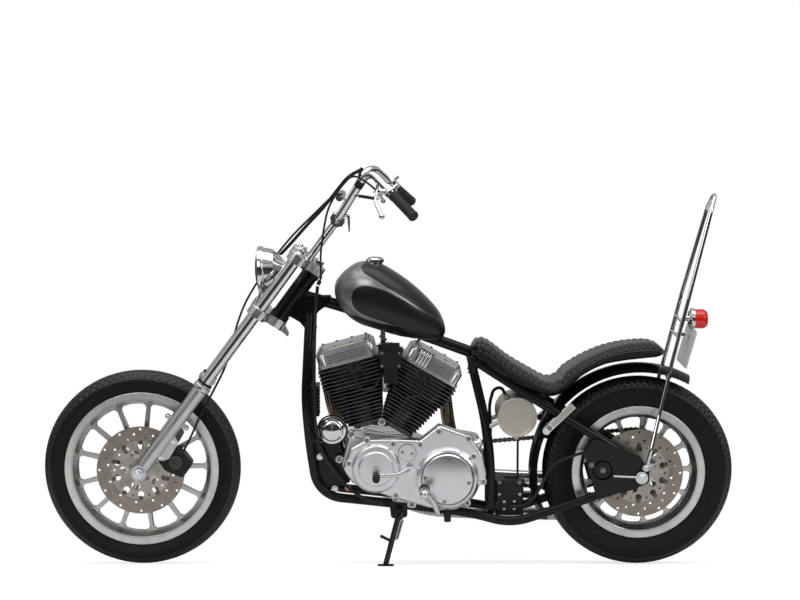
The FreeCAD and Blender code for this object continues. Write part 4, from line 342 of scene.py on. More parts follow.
def turnedMaterial(name, look, edge, middle):
    material, tree, shader = newMaterial(name)
    turned = placeGroup(tree, ringGroup, {"Middle": middle, "Rings": look["rings"]})
    patches = placeGroup(tree, grainGroup, {"Scale": 500.0, "Patch": 25.0})["Patches"]
    step = mapTo(tree, turned["Radius"], 0, 1, edge - 0.0006, edge + 0.0006)
    tone = colourMix(tree, step, look["inner"], look["outer"])
    stain = [channel * 0.55 for channel in look["outer"]]
    rough = mathNode(tree, "ADD", mapTo(tree, turned["Rings"], *look["rough"], 0.3, 0.7),
                     mapTo(tree, patches, -0.05, 0.08))
    fillInputs(tree, shader, {"Base Color": colourMix(tree, mapTo(tree, patches, 0, 0.45, 0.4, 0.75), tone, stain),
                              "Roughness": rough, "Metallic": 1.0})
    addBump(tree, shader, turned["Rings"], look["bump"], 0.0002)
    paints[name] = material


for part, look in turnedLook.items():
    turnedMaterial("front" + part, look, look["edge"][0], tuple(frontFrame.translation))
    turnedMaterial("rear" + part, look, look["edge"][1], tuple(rearFrame.translation))
print("materials made")

# Cylinder fins: black between them, with a painted highlight, lighter and more metallic, on the edge where each one
# ends
finLook = {"black": (0.008, 0.008, 0.009), "edgeHighlight": (0.14, 0.137, 0.13), "rough": (0.5, 0.34), "metal": (0.1, 0.7)}
for name, sign in (("frontFins", 1), ("rearFins", -1)):
    paints[name], tree, shader = newMaterial(name)
    axis = (cylinderFrame(sign).to_3x3() @ Vector((0, 0, 1))).normalized()
    grain = placeGroup(tree, grainGroup, {"Scale": 700.0, "Patch": 40.0})
    # the lighter edge colour is a painted highlight
    edgeHighlight = placeGroup(tree, edgeHighlightGroup, {"Axis": axis, "Patches": grain["Patches"]})["PaintedHighlight"]
    fillInputs(tree, shader, {"Base Color": colourMix(tree, edgeHighlight, finLook["black"], finLook["edgeHighlight"]),
                              "Roughness": mapTo(tree, edgeHighlight, *finLook["rough"]),
                              "Metallic": mapTo(tree, edgeHighlight, *finLook["metal"])})
    addBump(tree, shader, grain["Grain"], 0.25, 0.0003)

# Tank paint: dark panels on gunmetal flake, each panel's edges drawn as height against the distance ahead
tankPaint = {
    "from": 640, "long": 400, "foot": 700, "tall": 500, "edgeSoft": 0.0012, "endSoft": 0.0008,
    "panel": (0.009, 0.0098, 0.0125), "flake": ((0.24, 0.235, 0.24), (0.37, 0.36, 0.365)),
    "ends": {"upper": 0.922, "middle": 0.952, "lower": 0.972},
    "upperLow": [(640, 812), (700, 853), (735, 875), (756, 890), (783, 909), (810, 927), (837, 942), (864, 961),
                 (891, 976), (910, 987), (922, 1001)],
    "upperTop": [(640, 1200), (872, 1200), (888, 1040), (898, 1022), (911, 1014), (922, 1003)],
    "middleTop": [(640, 812), (700, 853), (735, 873), (756, 886), (778, 899), (805, 913), (832, 928), (858, 937),
                  (885, 945), (904, 948), (923, 944), (937, 936), (945, 927), (952, 908)],
    "middleLow": [(640, 812), (700, 811), (767, 807), (783, 810), (810, 815), (837, 824), (864, 833), (891, 842),
                  (918, 854), (937, 867), (948, 886), (952, 905)],
    "lowerTop": [(640, 822), (700, 820), (767, 811), (783, 811), (797, 812.5), (824, 817), (851, 822), (878, 828),
                 (905, 835), (926, 842), (946, 845), (963, 838), (972, 822)],
}
paints["tankPaint"], tree, shader = newMaterial("tankPaint")
stood = leanUpright(tree, vectorNode(tree, "ADD", objectPlace(tree), machine["shift"]))
place = addNode(tree, "SeparateXYZ", {0: stood}).outputs
start = tankPaint["from"] / 1000
along = mapTo(tree, place["X"], 0, 1, start, start + tankPaint["long"] / 1000)
height = place["Z"]


def panelEdge(name):
    # a curve from the share of the tank's length to a height in metres
    node = addNode(tree, "FloatCurve", {"Value": along})
    curve = node.mapping.curves[0]
    node.mapping.use_clip = False
    shares = [((ahead - tankPaint["from"]) / tankPaint["long"], (up - tankPaint["foot"]) / tankPaint["tall"])
              for ahead, up in tankPaint[name]]
    shares.append((1.0, shares[-1][1]))
    curve.points[0].location = shares[0]
    curve.points[-1].location = shares[-1]
    for share in shares[1:-1]:
        curve.points.new(*share)
    for point in curve.points:
        point.handle_type = "AUTO_CLAMPED"
    node.mapping.update()
    return mathNode(tree, "MULTIPLY_ADD", node.outputs[0], tankPaint["tall"] / 1000, tankPaint["foot"] / 1000)


def above(value, edge):
    # 1 above the edge, fading over a hair's width
    soft = tankPaint["edgeSoft"]
    return mapTo(tree, mathNode(tree, "SUBTRACT", value, edge), 0, 1, -soft, soft)


def tankPanel(name, *masks):
    end, soft = tankPaint["ends"][name], tankPaint["endSoft"]
    mask = mapTo(tree, place["X"], 1, 0, end - soft, end + soft)
    for other in masks:
        mask = mathNode(tree, "MULTIPLY", mask, other)
    return mask


upper = tankPanel("upper", above(height, panelEdge("upperLow")), above(panelEdge("upperTop"), height))
middle = tankPanel("middle", above(height, panelEdge("middleLow")), above(panelEdge("middleTop"), height))
lower = tankPanel("lower", above(panelEdge("lowerTop"), height))
panel = mathNode(tree, "MAXIMUM", mathNode(tree, "MAXIMUM", upper, middle), lower, clamp=True)
grain = placeGroup(tree, grainGroup, {"Scale": 2600.0, "Patch": 6.0})
flake = colourMix(tree, mapTo(tree, grain["Grain"], 0, 1, 0.35, 0.65), *tankPaint["flake"])
fillInputs(tree, shader, {
    "Base Color": colourMix(tree, panel, flake, tankPaint["panel"]), "Metallic": mapTo(tree, panel, 0.85, 0.2),
    "Roughness": mathNode(tree, "ADD", mapTo(tree, panel, 0.34, 0.36), mapTo(tree, grain["Patches"], -0.03, 0.05)),
    "Coat Weight": 0.3, "Coat Roughness": 0.2, "Specular IOR Level": 0.3,
})
addBump(tree, shader, grain["Patches"], 0.04, 0.001)

# Lamp glass and red lens
paints["clearGlass"], tree, shader = newMaterial("clearGlass")
fillInputs(tree, shader, {"Base Color": (0.96, 0.98, 1.0, 1), "Roughness": 0.02, "Transmission Weight": 1.0,
                          "IOR": 1.45})
flutes = addNode(tree, "TexWave", {"Vector": objectPlace(tree), "Scale": 60.0, "Distortion": 0.6})
addBump(tree, shader, flutes.outputs["Fac"], 0.12, 0.0008)

paints["redLens"], tree, shader = newMaterial("redLens")
cells = addNode(tree, "TexVoronoi", {"Vector": objectPlace(tree), "Scale": 190.0}).outputs["Distance"]
red = colourMix(tree, mapTo(tree, cells, 0, 1, 0.0, 0.7), (0.85, 0.02, 0.012), (0.45, 0.005, 0.004))
fillInputs(tree, shader, {"Base Color": red, "Roughness": 0.1, "Coat Weight": 0.6,
                          "Emission Color": (0.9, 0.02, 0.01, 1), "Emission Strength": 0.12})
addBump(tree, shader, cells, 0.3, 0.0006)


# Mesh helpers, all in millimetres of a local frame
def addPiece(name, shape, material, body, place=upright, sharp=35):
    mesh = shape
    if isinstance(shape, bmesh.types.BMesh):
        bmesh.ops.recalc_face_normals(shape, faces=shape.faces)
        mesh = bpy.data.meshes.new(name)
        shape.to_mesh(mesh)
        shape.free()
    piece = bpy.data.objects.new(name, mesh)
    scene.collection.objects.link(piece)
    mesh.transform(place)
    mesh.update()
    mesh.materials.append(paints[material])
    mesh.shade_smooth()
    mesh.set_sharp_from_angle(angle=math.radians(sharp))
    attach(piece, body)
    return piece


def gridFaces(rows, columns, closeRows=False, closeColumns=False):
    faces = []
    for i in range(rows if closeRows else rows - 1):
        for j in range(columns if closeColumns else columns - 1):
            here, there = i * columns, (i + 1) % rows * columns
            following = (j + 1) % columns
            faces.append((here + j, here + following, there + following, there + j))
    return faces


def gridMesh(name, verts, rows, columns):
    # a grid closed round its columns, with a face on each end
    faces = gridFaces(rows, columns, closeColumns=True)
    faces += [tuple(range(columns)), tuple(range(rows * columns - 1, (rows - 1) * columns - 1, -1))]
    mesh = bpy.data.meshes.new(name)
    mesh.from_pydata(verts, [], faces)
    return mesh


def joinRings(bm, rings, capped=True):
    # closed rings of equally many points, with walls between them and a face on each end
    rows = [[bm.verts.new(point) for point in ring] for ring in rings]
    for low, high in zip(rows, rows[1:]):
        for k in range(len(low)):
            n = (k + 1) % len(low)
            bm.faces.new((low[k], low[n], high[n], high[k]))
    if capped:
        bm.faces.new(rows[0])
        bm.faces.new(rows[-1])


def ringPoints(radius, count, along=0.0):
    angles = [2 * math.pi * k / count for k in range(count)]
    return [Vector((radius * math.cos(angle), along, radius * math.sin(angle))) for angle in angles]


def addTurned(bm, profile, place=Matrix.Identity(4), segments=32):
    # profile of (radius, distance along local Y)
    rings = [[bm.verts.new(place @ point) for point in ringPoints(radius, segments if radius > 1e-6 else 1, along)]
             for radius, along in profile]
    for low, high in zip(rings, rings[1:]):
        for k in range(segments):
            n = (k + 1) % segments
            corners = [low[k % len(low)], low[n % len(low)], high[n % len(high)], high[k % len(high)]]
            corners = list(dict.fromkeys(corners))
            if len(corners) > 2:
                bm.faces.new(corners)


def addBox(bm, low, high, place=Matrix.Identity(4), bevel=0.0):
    made = bmesh.ops.create_cube(bm, size=1.0)["verts"]
    middle = (Vector(low) + Vector(high)) / 2
    span = Vector(high) - Vector(low)
    for vert in made:
        vert.co = vert.co * span + middle
    if bevel:
        edges = list({edge for vert in made for edge in vert.link_edges})
        cut = bmesh.ops.bevel(bm, geom=edges, offset=bevel, segments=2, affect="EDGES")["faces"]
        made = {vert for face in cut for vert in face.verts} | {vert for vert in made if vert.is_valid}
    bmesh.ops.transform(bm, matrix=place, verts=[vert for vert in made if vert.is_valid])


def addSideBox(bm, side, low, high, place=Matrix.Identity(4), bevel=0.0):
    # a box given for the left side, mirrored for the right one when side is -1
    near, far = sorted((side * low[1], side * high[1]))
    addBox(bm, (low[0], near, low[2]), (high[0], far, high[2]), place, bevel)


def hexBolt(bm, place, radius, height):
    # hexagon head with a chamfered top on a thin washer, rising along local Y
    addTurned(bm, [(0, 0), (radius * 1.3, 0), (radius * 1.35, 0.6), (radius * 1.3, 1.2), (0, 1.2)], place, 24)
    addTurned(bm, [(0, 1.0), (radius, 1.0), (radius, height * 0.82), (radius * 0.86, height), (0, height)], place, 6)


def socketBolt(bm, place, radius, height):
    # round head with a socket
    addTurned(bm, [(0, 0), (radius * 1.25, 0), (radius * 1.25, 0.8), (radius, 0.9), (radius, height * 0.8),
                   (radius * 0.86, height), (radius * 0.55, height), (radius * 0.5, height * 0.5), (0, height * 0.45)],
              place, 20)


def domeBolt(bm, place, radius, height):
    addTurned(bm, [(0, 0), (radius * 1.3, 0), (radius * 1.3, 0.8), (radius, 1.0), (radius * 0.98, height * 0.4),
                   (radius * 0.75, height * 0.8), (radius * 0.4, height * 0.97), (0, height)], place, 20)


def smoothRoute(points, samples=10):
    # a quadratic spline that cuts inside the corners
    points = [Vector(p) for p in points]
    line = [points[0]]
    for i in range(1, len(points) - 1):
        start = points[0] if i == 1 else (points[i - 1] + points[i]) / 2
        end = points[-1] if i == len(points) - 2 else (points[i] + points[i + 1]) / 2
        for k in range(1, samples + 1):
            t = k / samples
            line.append(start * (1 - t) ** 2 + points[i] * 2 * t * (1 - t) + end * t * t)
    return line


def addTube(bm, points, radius, segments=12, capped=True):
    # the radius is a number, or a function of the share of the way
    line = [Vector(p) for p in points]
    normal = None
    rings = []
    for i, point in enumerate(line):
        ahead = (line[min(i + 1, len(line) - 1)] - line[max(i - 1, 0)]).normalized()
        if normal is None:
            normal = ahead.orthogonal().normalized()
        normal = (normal - ahead * normal.dot(ahead)).normalized()
        side = ahead.cross(normal)
        size = radius(i / (len(line) - 1)) if callable(radius) else radius
        angles = [2 * math.pi * k / segments for k in range(segments)]
        rings.append([point + (normal * math.cos(angle) + side * math.sin(angle)) * size for angle in angles])
    joinRings(bm, rings, capped)


def addHoop(bm, place, radius, thick, count=96):
    # a thin tube that closes round local Y
    points = ringPoints(radius, count)
    addTube(bm, [place @ point for point in points + points[:1]], thick, 8, capped=False)


def facing(place, direction):
    # a frame at a place whose local Y points along a direction
    turn = Vector((0, 1, 0)).rotation_difference(Vector(direction)).to_matrix().to_4x4()
    return Matrix.Translation(place) @ turn


# Places of bolts, from pairs of ahead and up; one without a direction faces left
upward = (0, 0, 1)


def leftFace(across, spots):
    return [(x, across, z) for x, z in spots]


def rightFace(across, spots):
    return [((x, -across, z), (0, -1, 0)) for x, z in spots]


def bothSides(across, spots):
    return [((x, side * across, z), (0, side, 0)) for side in (1, -1) for x, z in spots]


def addBolts(body, frameHere, rows):
    for name, head, finish, radius, height, places in rows:
        bm = bmesh.new()
        for item in places:
            position, direction = item if isinstance(item[0], tuple) else (item, (0, 1, 0))
            head(bm, facing(position, direction), radius, height)
        addPiece(name, bm, finish, body, frameHere)


# CAD parts keep their shapes and get these finishes
nodePaint = {
    "chrome": ["fork_tubes", "handlebar", "bar_risers", "hand_controls", "headlight", "tank_fittings", "sissy_bar",
               "horn_cover", "air_cleaner", "foot_controls", "front_axle", "rear_axle", "passenger_pegs",
               "brake_master", "pushrod_tubes", "tail_bracket", "rider_pegs"],
    "frameBlack": ["frame_spine", "cradle_tubes", "upper_rails", "seat_posts", "axle_plates", "frame_brackets",
                   "rear_fender", "side_stand"],
    "satinBlack": ["battery_box", "coil", "front_caliper", "rear_caliper", "regulator"],
    "frontFins": ["front_cylinder"],
    "rearFins": ["rear_cylinder"],
    "castSilver": ["crankcase", "front_rocker_box", "rear_rocker_box"],
    "polishedAlloy": ["cam_cover", "primary_cover", "clutch_cover"],
    "satinAlloy": ["fork_sliders", "lower_clamp", "upper_clamp"],
    "brushedBeige": ["oil_tank"],
    "darkSteel": ["rear_sprocket", "engine_sprocket", "chain"],
    "rubber": ["front_cables", "hoses_and_cables"],
    "gripRubber": ["grips"],
    "tyreRubber": ["front_tyre", "rear_tyre"],
    "heatedChrome": ["exhaust_pipes"],
    "frontDisc": ["front_disc"],
    "rearDisc": ["rear_disc"],
    "frontWheel": ["front_wheel"],
    "rearWheel": ["rear_wheel"],
    "tankPaint": ["tank"],
    "clearGlass": ["headlight_lens"],
    "redLens": ["tail_light"],
    "plateMetal": ["licence_plate"],
}
for paint, names in nodePaint.items():
    for node in names:
        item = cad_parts[node]
        item.data.materials.clear()
        item.data.materials.append(paints[paint])
print("CAD parts painted")

# Tyres with their tread, cut inward from the solid's own outline
tyreLook = {
    "front": {"outer": 327, "crown": 54, "half": 50, "rimOuter": 252, "rimHalf": 34, "around": 1080,
              "grooves": (-42, -33, -20, -7, 7, 20, 33, 42), "grooveWide": 2.6, "grooveDeep": 4.5, "wave": 2.2,
              "waves": 76, "centreRows": 14, "shoulderFrom": 27, "shoulderRows": 16},
    "rear": {"outer": 317, "crown": 78, "half": 65, "rimOuter": 218, "rimHalf": 46, "around": 1000,
             "grooves": (-52, -37, -22, -8, 8, 22, 37, 52), "grooveWide": 3.6, "grooveDeep": 5.5, "wave": 4.6,
             "waves": 88, "centreRows": 12, "shoulderFrom": 29, "shoulderRows": 20},
    "wallRows": 14, "wallBulge": 3.6, "grooveSide": 0.9, "inset": 0.15,
}


def tyreProfile(look):
    # (across, radius) from bead to bead, and the radius where the tread starts
    centre = look["outer"] - look["crown"]
    treadHalf = look["half"] - 4
    treadFrom = centre + math.sqrt(look["crown"] ** 2 - treadHalf ** 2)
    rimEdge = look["rimOuter"] + 6
    spots = [*np.linspace(0, look["shoulderFrom"] - 2, look["centreRows"]),
             *np.linspace(look["shoulderFrom"], treadHalf, look["shoulderRows"])]
    tread = [(y, centre + math.sqrt(look["crown"] ** 2 - y * y)) for y in spots]
    side = []
    for k in range(1, tyreLook["wallRows"] + 1):
        t = k / tyreLook["wallRows"]
        bulge = math.sin(math.pi * min(1, t * 1.15 + 0.1)) * tyreLook["wallBulge"]
        y = treadHalf + (look["rimHalf"] + 2 - treadHalf) * t ** 1.7 + bulge
        side.append((min(y, look["half"]), treadFrom + (rimEdge - treadFrom) * t))
    side += [(look["rimHalf"] + 1, rimEdge - 5), (look["rimHalf"] - 5, rimEdge - 6)]
    half = tread + side
    return np.array([(-y, r) for y, r in half[:0:-1]] + half), treadFrom


def buildTyre(end, frameHere):
    look = tyreLook[end]
    profile, treadFrom = tyreProfile(look)
    wallLow = look["rimOuter"] + 6
    around = look["around"]
    theta = np.linspace(0, 2 * np.pi, around, endpoint=False)[:, None]
    y = np.repeat(profile[None, :, 0], around, 0)
    r = np.repeat(profile[None, :, 1], around, 0)
    onTread = r > treadFrom - 1
    cut = np.zeros_like(r)
    zigzag = look["wave"] * (2 / np.pi) * np.arcsin(np.sin(theta * look["waves"]))
    soft = tyreLook["grooveSide"]
    for k, groove in enumerate(look["grooves"]):
        # neighbouring grooves swing apart and together, so blocks stay between them
        gap = np.abs(y - groove - zigzag * (1 if k % 2 else -1))
        cut = np.maximum(cut, look["grooveDeep"] * np.clip((look["grooveWide"] / 2 + soft - gap) / soft, 0, 1))
    cut = np.where(onTread, cut, 0)
    ridge = 0.8 * np.exp(-((r - (wallLow + 12)) / 1.6) ** 2) + 0.5 * np.exp(-((r - (treadFrom - 16)) / 1.2) ** 2)
    radius = r - cut - tyreLook["inset"]
    across = y + np.sign(y) * (np.where(onTread, 0, ridge * 0.5) - 0.2)
    verts = np.stack([radius * np.cos(theta), across, radius * np.sin(theta)], -1).reshape(-1, 3)
    mesh = bpy.data.meshes.new(end + "TyreTread")
    mesh.from_pydata(verts.tolist(), [], gridFaces(around, profile.shape[0], closeRows=True))
    piece = addPiece(end + "TyreTread", mesh, "tyreRubber", end + "_wheel", frameHere, 42)
    mesh.materials.append(paints["treadRubber"])
    treadFaces = onTread & np.roll(onTread, -1, 1)
    mesh.polygons.foreach_set("material_index", treadFaces[:, :-1].astype(np.int32).ravel())
    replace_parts(piece, end + "_tyre")


buildTyre("front", frontFrame)
buildTyre("rear", rearFrame)
print("tyres cut")

# Tank: a smooth shell through the solid's own sections, with rounded ends and a tunnel for the backbone
tankLook = {
    "back": 642, "long": 366, "half": 118, "fullness": 2.4, "rows": 130, "around": 120, "roundFront": 9,
    "roundBack": 20, "least": 0.4, "spineAt": (560, 716), "spineSlope": 152 / 420, "tunnel": 19.6,
    "stations": [(0, 0.38, 20, 70), (0.077, 0.58, 0, 106), (0.24, 0.84, -17.5, 146.5), (0.432, 0.98, -31, 175),
                 (0.623, 1.0, -35, 186), (0.787, 0.88, -36, 164), (0.91, 0.66, -18, 119), (0.978, 0.42, 9, 82),
                 (1.0, 0.18, 27, 62)],
}


def curveThrough(stations, share):
    # a smooth run through stations whose first value is the share of the way
    for i in range(len(stations) - 1):
        if share <= stations[i + 1][0] or i == len(stations) - 2:
            break
    before, after = stations[max(i - 1, 0)], stations[min(i + 2, len(stations) - 1)]
    here, there = stations[i], stations[i + 1]
    wide = there[0] - here[0]
    t = (share - here[0]) / wide
    values = []
    for c in range(1, len(here)):
        rise = (there[c] - here[c]) / wide
        leave = (there[c] - before[c]) / (there[0] - before[0]) if i else rise
        reach = (after[c] - here[c]) / (after[0] - here[0]) if i < len(stations) - 2 else rise
        values.append((2 * t ** 3 - 3 * t ** 2 + 1) * here[c] + (t ** 3 - 2 * t ** 2 + t) * wide * leave
                      + (3 * t ** 2 - 2 * t ** 3) * there[c] + (t ** 3 - t ** 2) * wide * reach)
    return values


def buildTank():
    look = tankLook
    steps = (1 - np.cos(np.linspace(0, np.pi, look["rows"]))) / 2
    angles = np.linspace(0, 2 * np.pi, look["around"], endpoint=False)
    side, rise = [np.sign(wave) * np.abs(wave) ** (2 / look["fullness"]) for wave in (np.cos(angles), np.sin(angles))]
    verts = []
    for share in steps:
        wide, low, high = curveThrough(look["stations"], share)
        ahead = look["back"] + share * look["long"]
        rounding = look["roundBack"] if share < 0.5 else look["roundFront"]
        inside = min(share, 1 - share) * look["long"]
        cut = rounding * (1 - math.sqrt(1 - (1 - min(1, inside / rounding)) ** 2))
        spine = look["spineAt"][1] + (ahead - look["spineAt"][0]) * look["spineSlope"]
        ys = side * max(wide * look["half"] - cut, look["least"])
        zs = spine + (low + high) / 2 + rise * max((high - low) / 2 - cut, look["least"])
        roof = spine + np.sqrt(np.maximum(look["tunnel"] ** 2 - ys ** 2, 0)) * math.hypot(1, look["spineSlope"])
        zs = np.where((np.abs(ys) < look["tunnel"]) & (rise < 0), np.maximum(zs, roof), zs)
        verts += [(ahead, y, z) for y, z in zip(ys, zs)]
    bm = bmesh.new()
    bm.from_mesh(gridMesh("tankGrid", verts, look["rows"], look["around"]))
    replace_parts(addPiece("tankShell", bm, "tankPaint", "chassis", upright, 60), "tank")


buildTank()
print("tank shaped")

# Wheel details: disc bolts, bobbins and valve stems
wheelLook = {
    "discFace": 63.6, "bolts": 5, "boltsAt": 34, "boltRadius": 5.5, "boltHigh": 5, "bobbins": 10, "bobbinsAt": 93,
    "bobbin": [(0, 0), (7.5, 0), (7.5, 1.6), (6, 2.2), (3.4, 2.2), (3.0, 1.2), (0, 1.2)],
    "valve": [(4.2, 0), (4.2, 8), (2.6, 10), (2.6, 17), (3.4, 18), (3.4, 24), (0, 25)], "valveTurn": 40,
    "valveAt": {"front": 231, "rear": 196},
}
for end, here in (("front", frontFrame), ("rear", rearFrame)):
    body = end + "_wheel"
    bm = bmesh.new()
    for k in range(wheelLook["bolts"]):
        angle = math.radians(90 + 360 / wheelLook["bolts"] * k)
        hexBolt(bm, at((wheelLook["boltsAt"] * math.cos(angle), wheelLook["discFace"],
                        wheelLook["boltsAt"] * math.sin(angle))), wheelLook["boltRadius"], wheelLook["boltHigh"])
    addPiece(end + "DiscBolts", bm, "boltSteel", body, here)
    bm = bmesh.new()
    for k in range(wheelLook["bobbins"]):
        angle = math.radians(18 + 360 / wheelLook["bobbins"] * k)
        addTurned(bm, wheelLook["bobbin"], at((wheelLook["bobbinsAt"] * math.cos(angle), wheelLook["discFace"],
                                               wheelLook["bobbinsAt"] * math.sin(angle))), 20)
    addPiece(end + "DiscBobbins", bm, "darkSteel", body, here)
    bm = bmesh.new()
    place = at((0, 0, 0), (0, wheelLook["valveTurn"], 0)) @ at((wheelLook["valveAt"][end], 8, 0), (0, 0, 90))
    addTurned(bm, wheelLook["valve"], place, 14)
    addPiece(end + "ValveStem", bm, "rubber", body, here)
print("wheels dressed")

# Seat: a smooth skirt below, sewn rolls across the top, piping between them
seatLook = {
    "stations": [(560, 0.4, 712, 735), (545, 0.6, 700, 757), (520, 0.74, 686, 763), (490, 0.84, 668, 749),
                 (429, 0.94, 630, 702), (361, 1, 600, 661), (305, 1, 582, 632), (270, 0.99, 588, 640),
                 (246, 0.98, 602, 667), (192, 0.93, 650, 701), (125, 0.86, 683, 732), (58, 0.8, 696, 750),
                 (-9, 0.74, 703, 757), (-50, 0.66, 706, 752), (-84, 0.5, 712, 730)],
    "halfWide": 126, "pitch": 21.5, "rowsPerRoll": 8, "puff": 4.6, "inset": 2.2, "pipe": 2.4, "pipeShare": 0.52,
    "pipeColumn": 19, "stitch": 0.55,
    "pressure": 4.0, "cap": 0.0022, "frames": 20,
}


def seatCurve(points, count):
    # points spread evenly along a smooth curve through the stations
    line = []
    for i in range(len(points) - 1):
        p0, p1 = points[max(i - 1, 0)], points[i]
        p2, p3 = points[i + 1], points[min(i + 2, len(points) - 1)]
        for k in range(20):
            t = k / 20
            line.append(0.5 * ((2 * p1) + (p2 - p0) * t + (2 * p0 - 5 * p1 + 4 * p2 - p3) * t ** 2
                               + (3 * p1 - p0 - 3 * p2 + p3) * t ** 3))
    line.append(points[-1])
    line = np.array(line)
    steps = np.concatenate([[0], np.cumsum(np.linalg.norm(np.diff(line[:, :2], axis=0), axis=1))])
    spread = np.linspace(0, steps[-1], count)
    return np.stack([np.interp(spread, steps, line[:, c]) for c in range(3)], -1), steps[-1]


def seatSurface():
    # the grid of points, which of them are sewn down, and which columns are skirt
    tops = [np.array((x, high, share)) for x, share, low, high in seatLook["stations"]]
    feet = [np.array((x, low, share)) for x, share, low, high in seatLook["stations"]]
    longWay = seatCurve(tops, 50)[1]
    rolls = int(longWay / seatLook["pitch"])
    rows = rolls * seatLook["rowsPerRoll"] + 1
    top, foot = seatCurve(tops, rows)[0], seatCurve(feet, rows)[0]
    share = seatLook["pipeShare"]
    flat = [(y, 0.0) for y in np.linspace(-0.86, 0.86, 13)]
    side = [(0.86 + 0.14 * math.sin(t * math.pi / 2), share * ((1 - math.cos(t * math.pi / 2)) * 0.4 + t * 0.6))
            for t in np.linspace(0, 1, 8)][1:]
    crown = []
    for t in np.linspace(0, math.pi, 41)[1:]:
        c = math.copysign(abs(math.cos(t)) ** 0.62, math.cos(t))
        crown.append((c, share + (1 - share) * math.sin(t) ** 0.72))
    back = [(-y, h) for y, h in reversed(side)][1:]
    section = np.array(flat + side + crown + back)
    onTop = (section[:, 1] > share + 0.02)[None, :]
    position = np.arange(rows) / seatLook["rowsPerRoll"]
    ridge = np.abs(np.sin(np.pi * position)) ** 0.55
    fade = np.clip((section[:, 1] - share) / (0.35 * (1 - share)), 0, 1) ** 0.6
    wide = seatLook["halfWide"] * (top[:, 2] + foot[:, 2]) / 2 - seatLook["inset"]
    ends = np.minimum(np.arange(rows), np.arange(rows)[::-1]) / 10
    rounded = np.sqrt(np.clip(1 - (1 - np.clip(ends, 0, 1)) ** 2, 0, 1)) * 0.75 + 0.25
    grid = np.zeros((rows, len(section), 3))
    middle = 0.45
    rise = middle + (section[None, :, 1] - middle) * (0.55 + 0.45 * rounded[:, None])
    span = top[:, None, :2] - foot[:, None, :2]
    grid[:, :, 0] = foot[:, None, 0] + span[:, :, 0] * rise
    grid[:, :, 2] = foot[:, None, 1] + 1.2 + (span[:, :, 1] - 2.4) * rise
    grid[:, :, 1] = wide[:, None] * rounded[:, None] * section[None, :, 0]
    outward = np.zeros_like(grid)
    outward[:, :, 1] = np.sign(section[None, :, 0]) * np.abs(section[None, :, 0]) ** 3
    outward[:, :, 2] = np.clip((section[None, :, 1] - share) / (1 - share), 0, 1) ** 0.5
    length = np.linalg.norm(outward, axis=-1, keepdims=True)
    outward = outward / np.where(length > 0, length, 1)
    drop = seatLook["puff"] * (1 - ridge)[:, None] * fade[None, :] * onTop
    pucker = 0.5 * np.sin(position * 4 * np.pi + 0.6)[:, None] * np.exp(-((fade - 0.35) / 0.25) ** 2)[None, :]
    grid -= outward * (drop + pucker * onTop * ridge[:, None])[:, :, None]
    pinned = ~np.repeat(onTop, rows, 0) | (ridge < 0.05)[:, None]
    return grid, pinned, section[:, 1] <= share + 0.02


def buildSeat():
    grid, pinned, skirt = seatSurface()
    rows, columns = grid.shape[:2]
    mesh = gridMesh("seatGrid", grid.reshape(-1, 3).tolist(), rows, columns)
    mesh.transform(upright)
    stuffSeat(mesh, pinned)
    bm = bmesh.new()
    bm.from_mesh(mesh)
    bmesh.ops.recalc_face_normals(bm, faces=bm.faces)
    bmesh.ops.triangulate(bm, faces=[face for face in bm.faces if len(face.verts) > 4])
    seat = addPiece("riderSeat", bm, "seatLeather", "chassis", Matrix.Identity(4), 180)
    seat.data.materials.append(paints["skirtLeather"])
    # faces of the grid come first, row by row, and both end caps after them
    smooth = np.tile(skirt & np.roll(skirt, -1), rows - 1).astype(np.int32)
    marks = np.zeros(len(seat.data.polygons), np.int32)
    marks[:len(smooth)] = smooth
    seat.data.polygons.foreach_set("material_index", marks)
    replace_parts(seat, "seat")
    trimSeat(grid)


def trimSeat(grid):
    # piping and its stitches along both sides
    for name, side, column in (("Left", 1, seatLook["pipeColumn"]), ("Right", -1, seatLook["pipeColumn"] + 40)):
        line = [Vector(grid[i, column]) + Vector((0, 0.6 * side, 0)) for i in range(0, grid.shape[0], 4)]
        bm = bmesh.new()
        addTube(bm, line, seatLook["pipe"], 10)
        addPiece("seatPiping" + name, bm, "pipingLeather", "chassis")
        bm = bmesh.new()
        lower = Vector((0, side, -6))
        for a, b in zip(line[2:-3], line[3:]):
            stitch = [a.lerp(b, 0.15) + lower, a.lerp(b, 0.5) + lower * 1.06, a.lerp(b, 0.85) + lower]
            addTube(bm, stitch, seatLook["stitch"], 5)
        addPiece("seatStitches" + name, bm, "thread", "chassis")


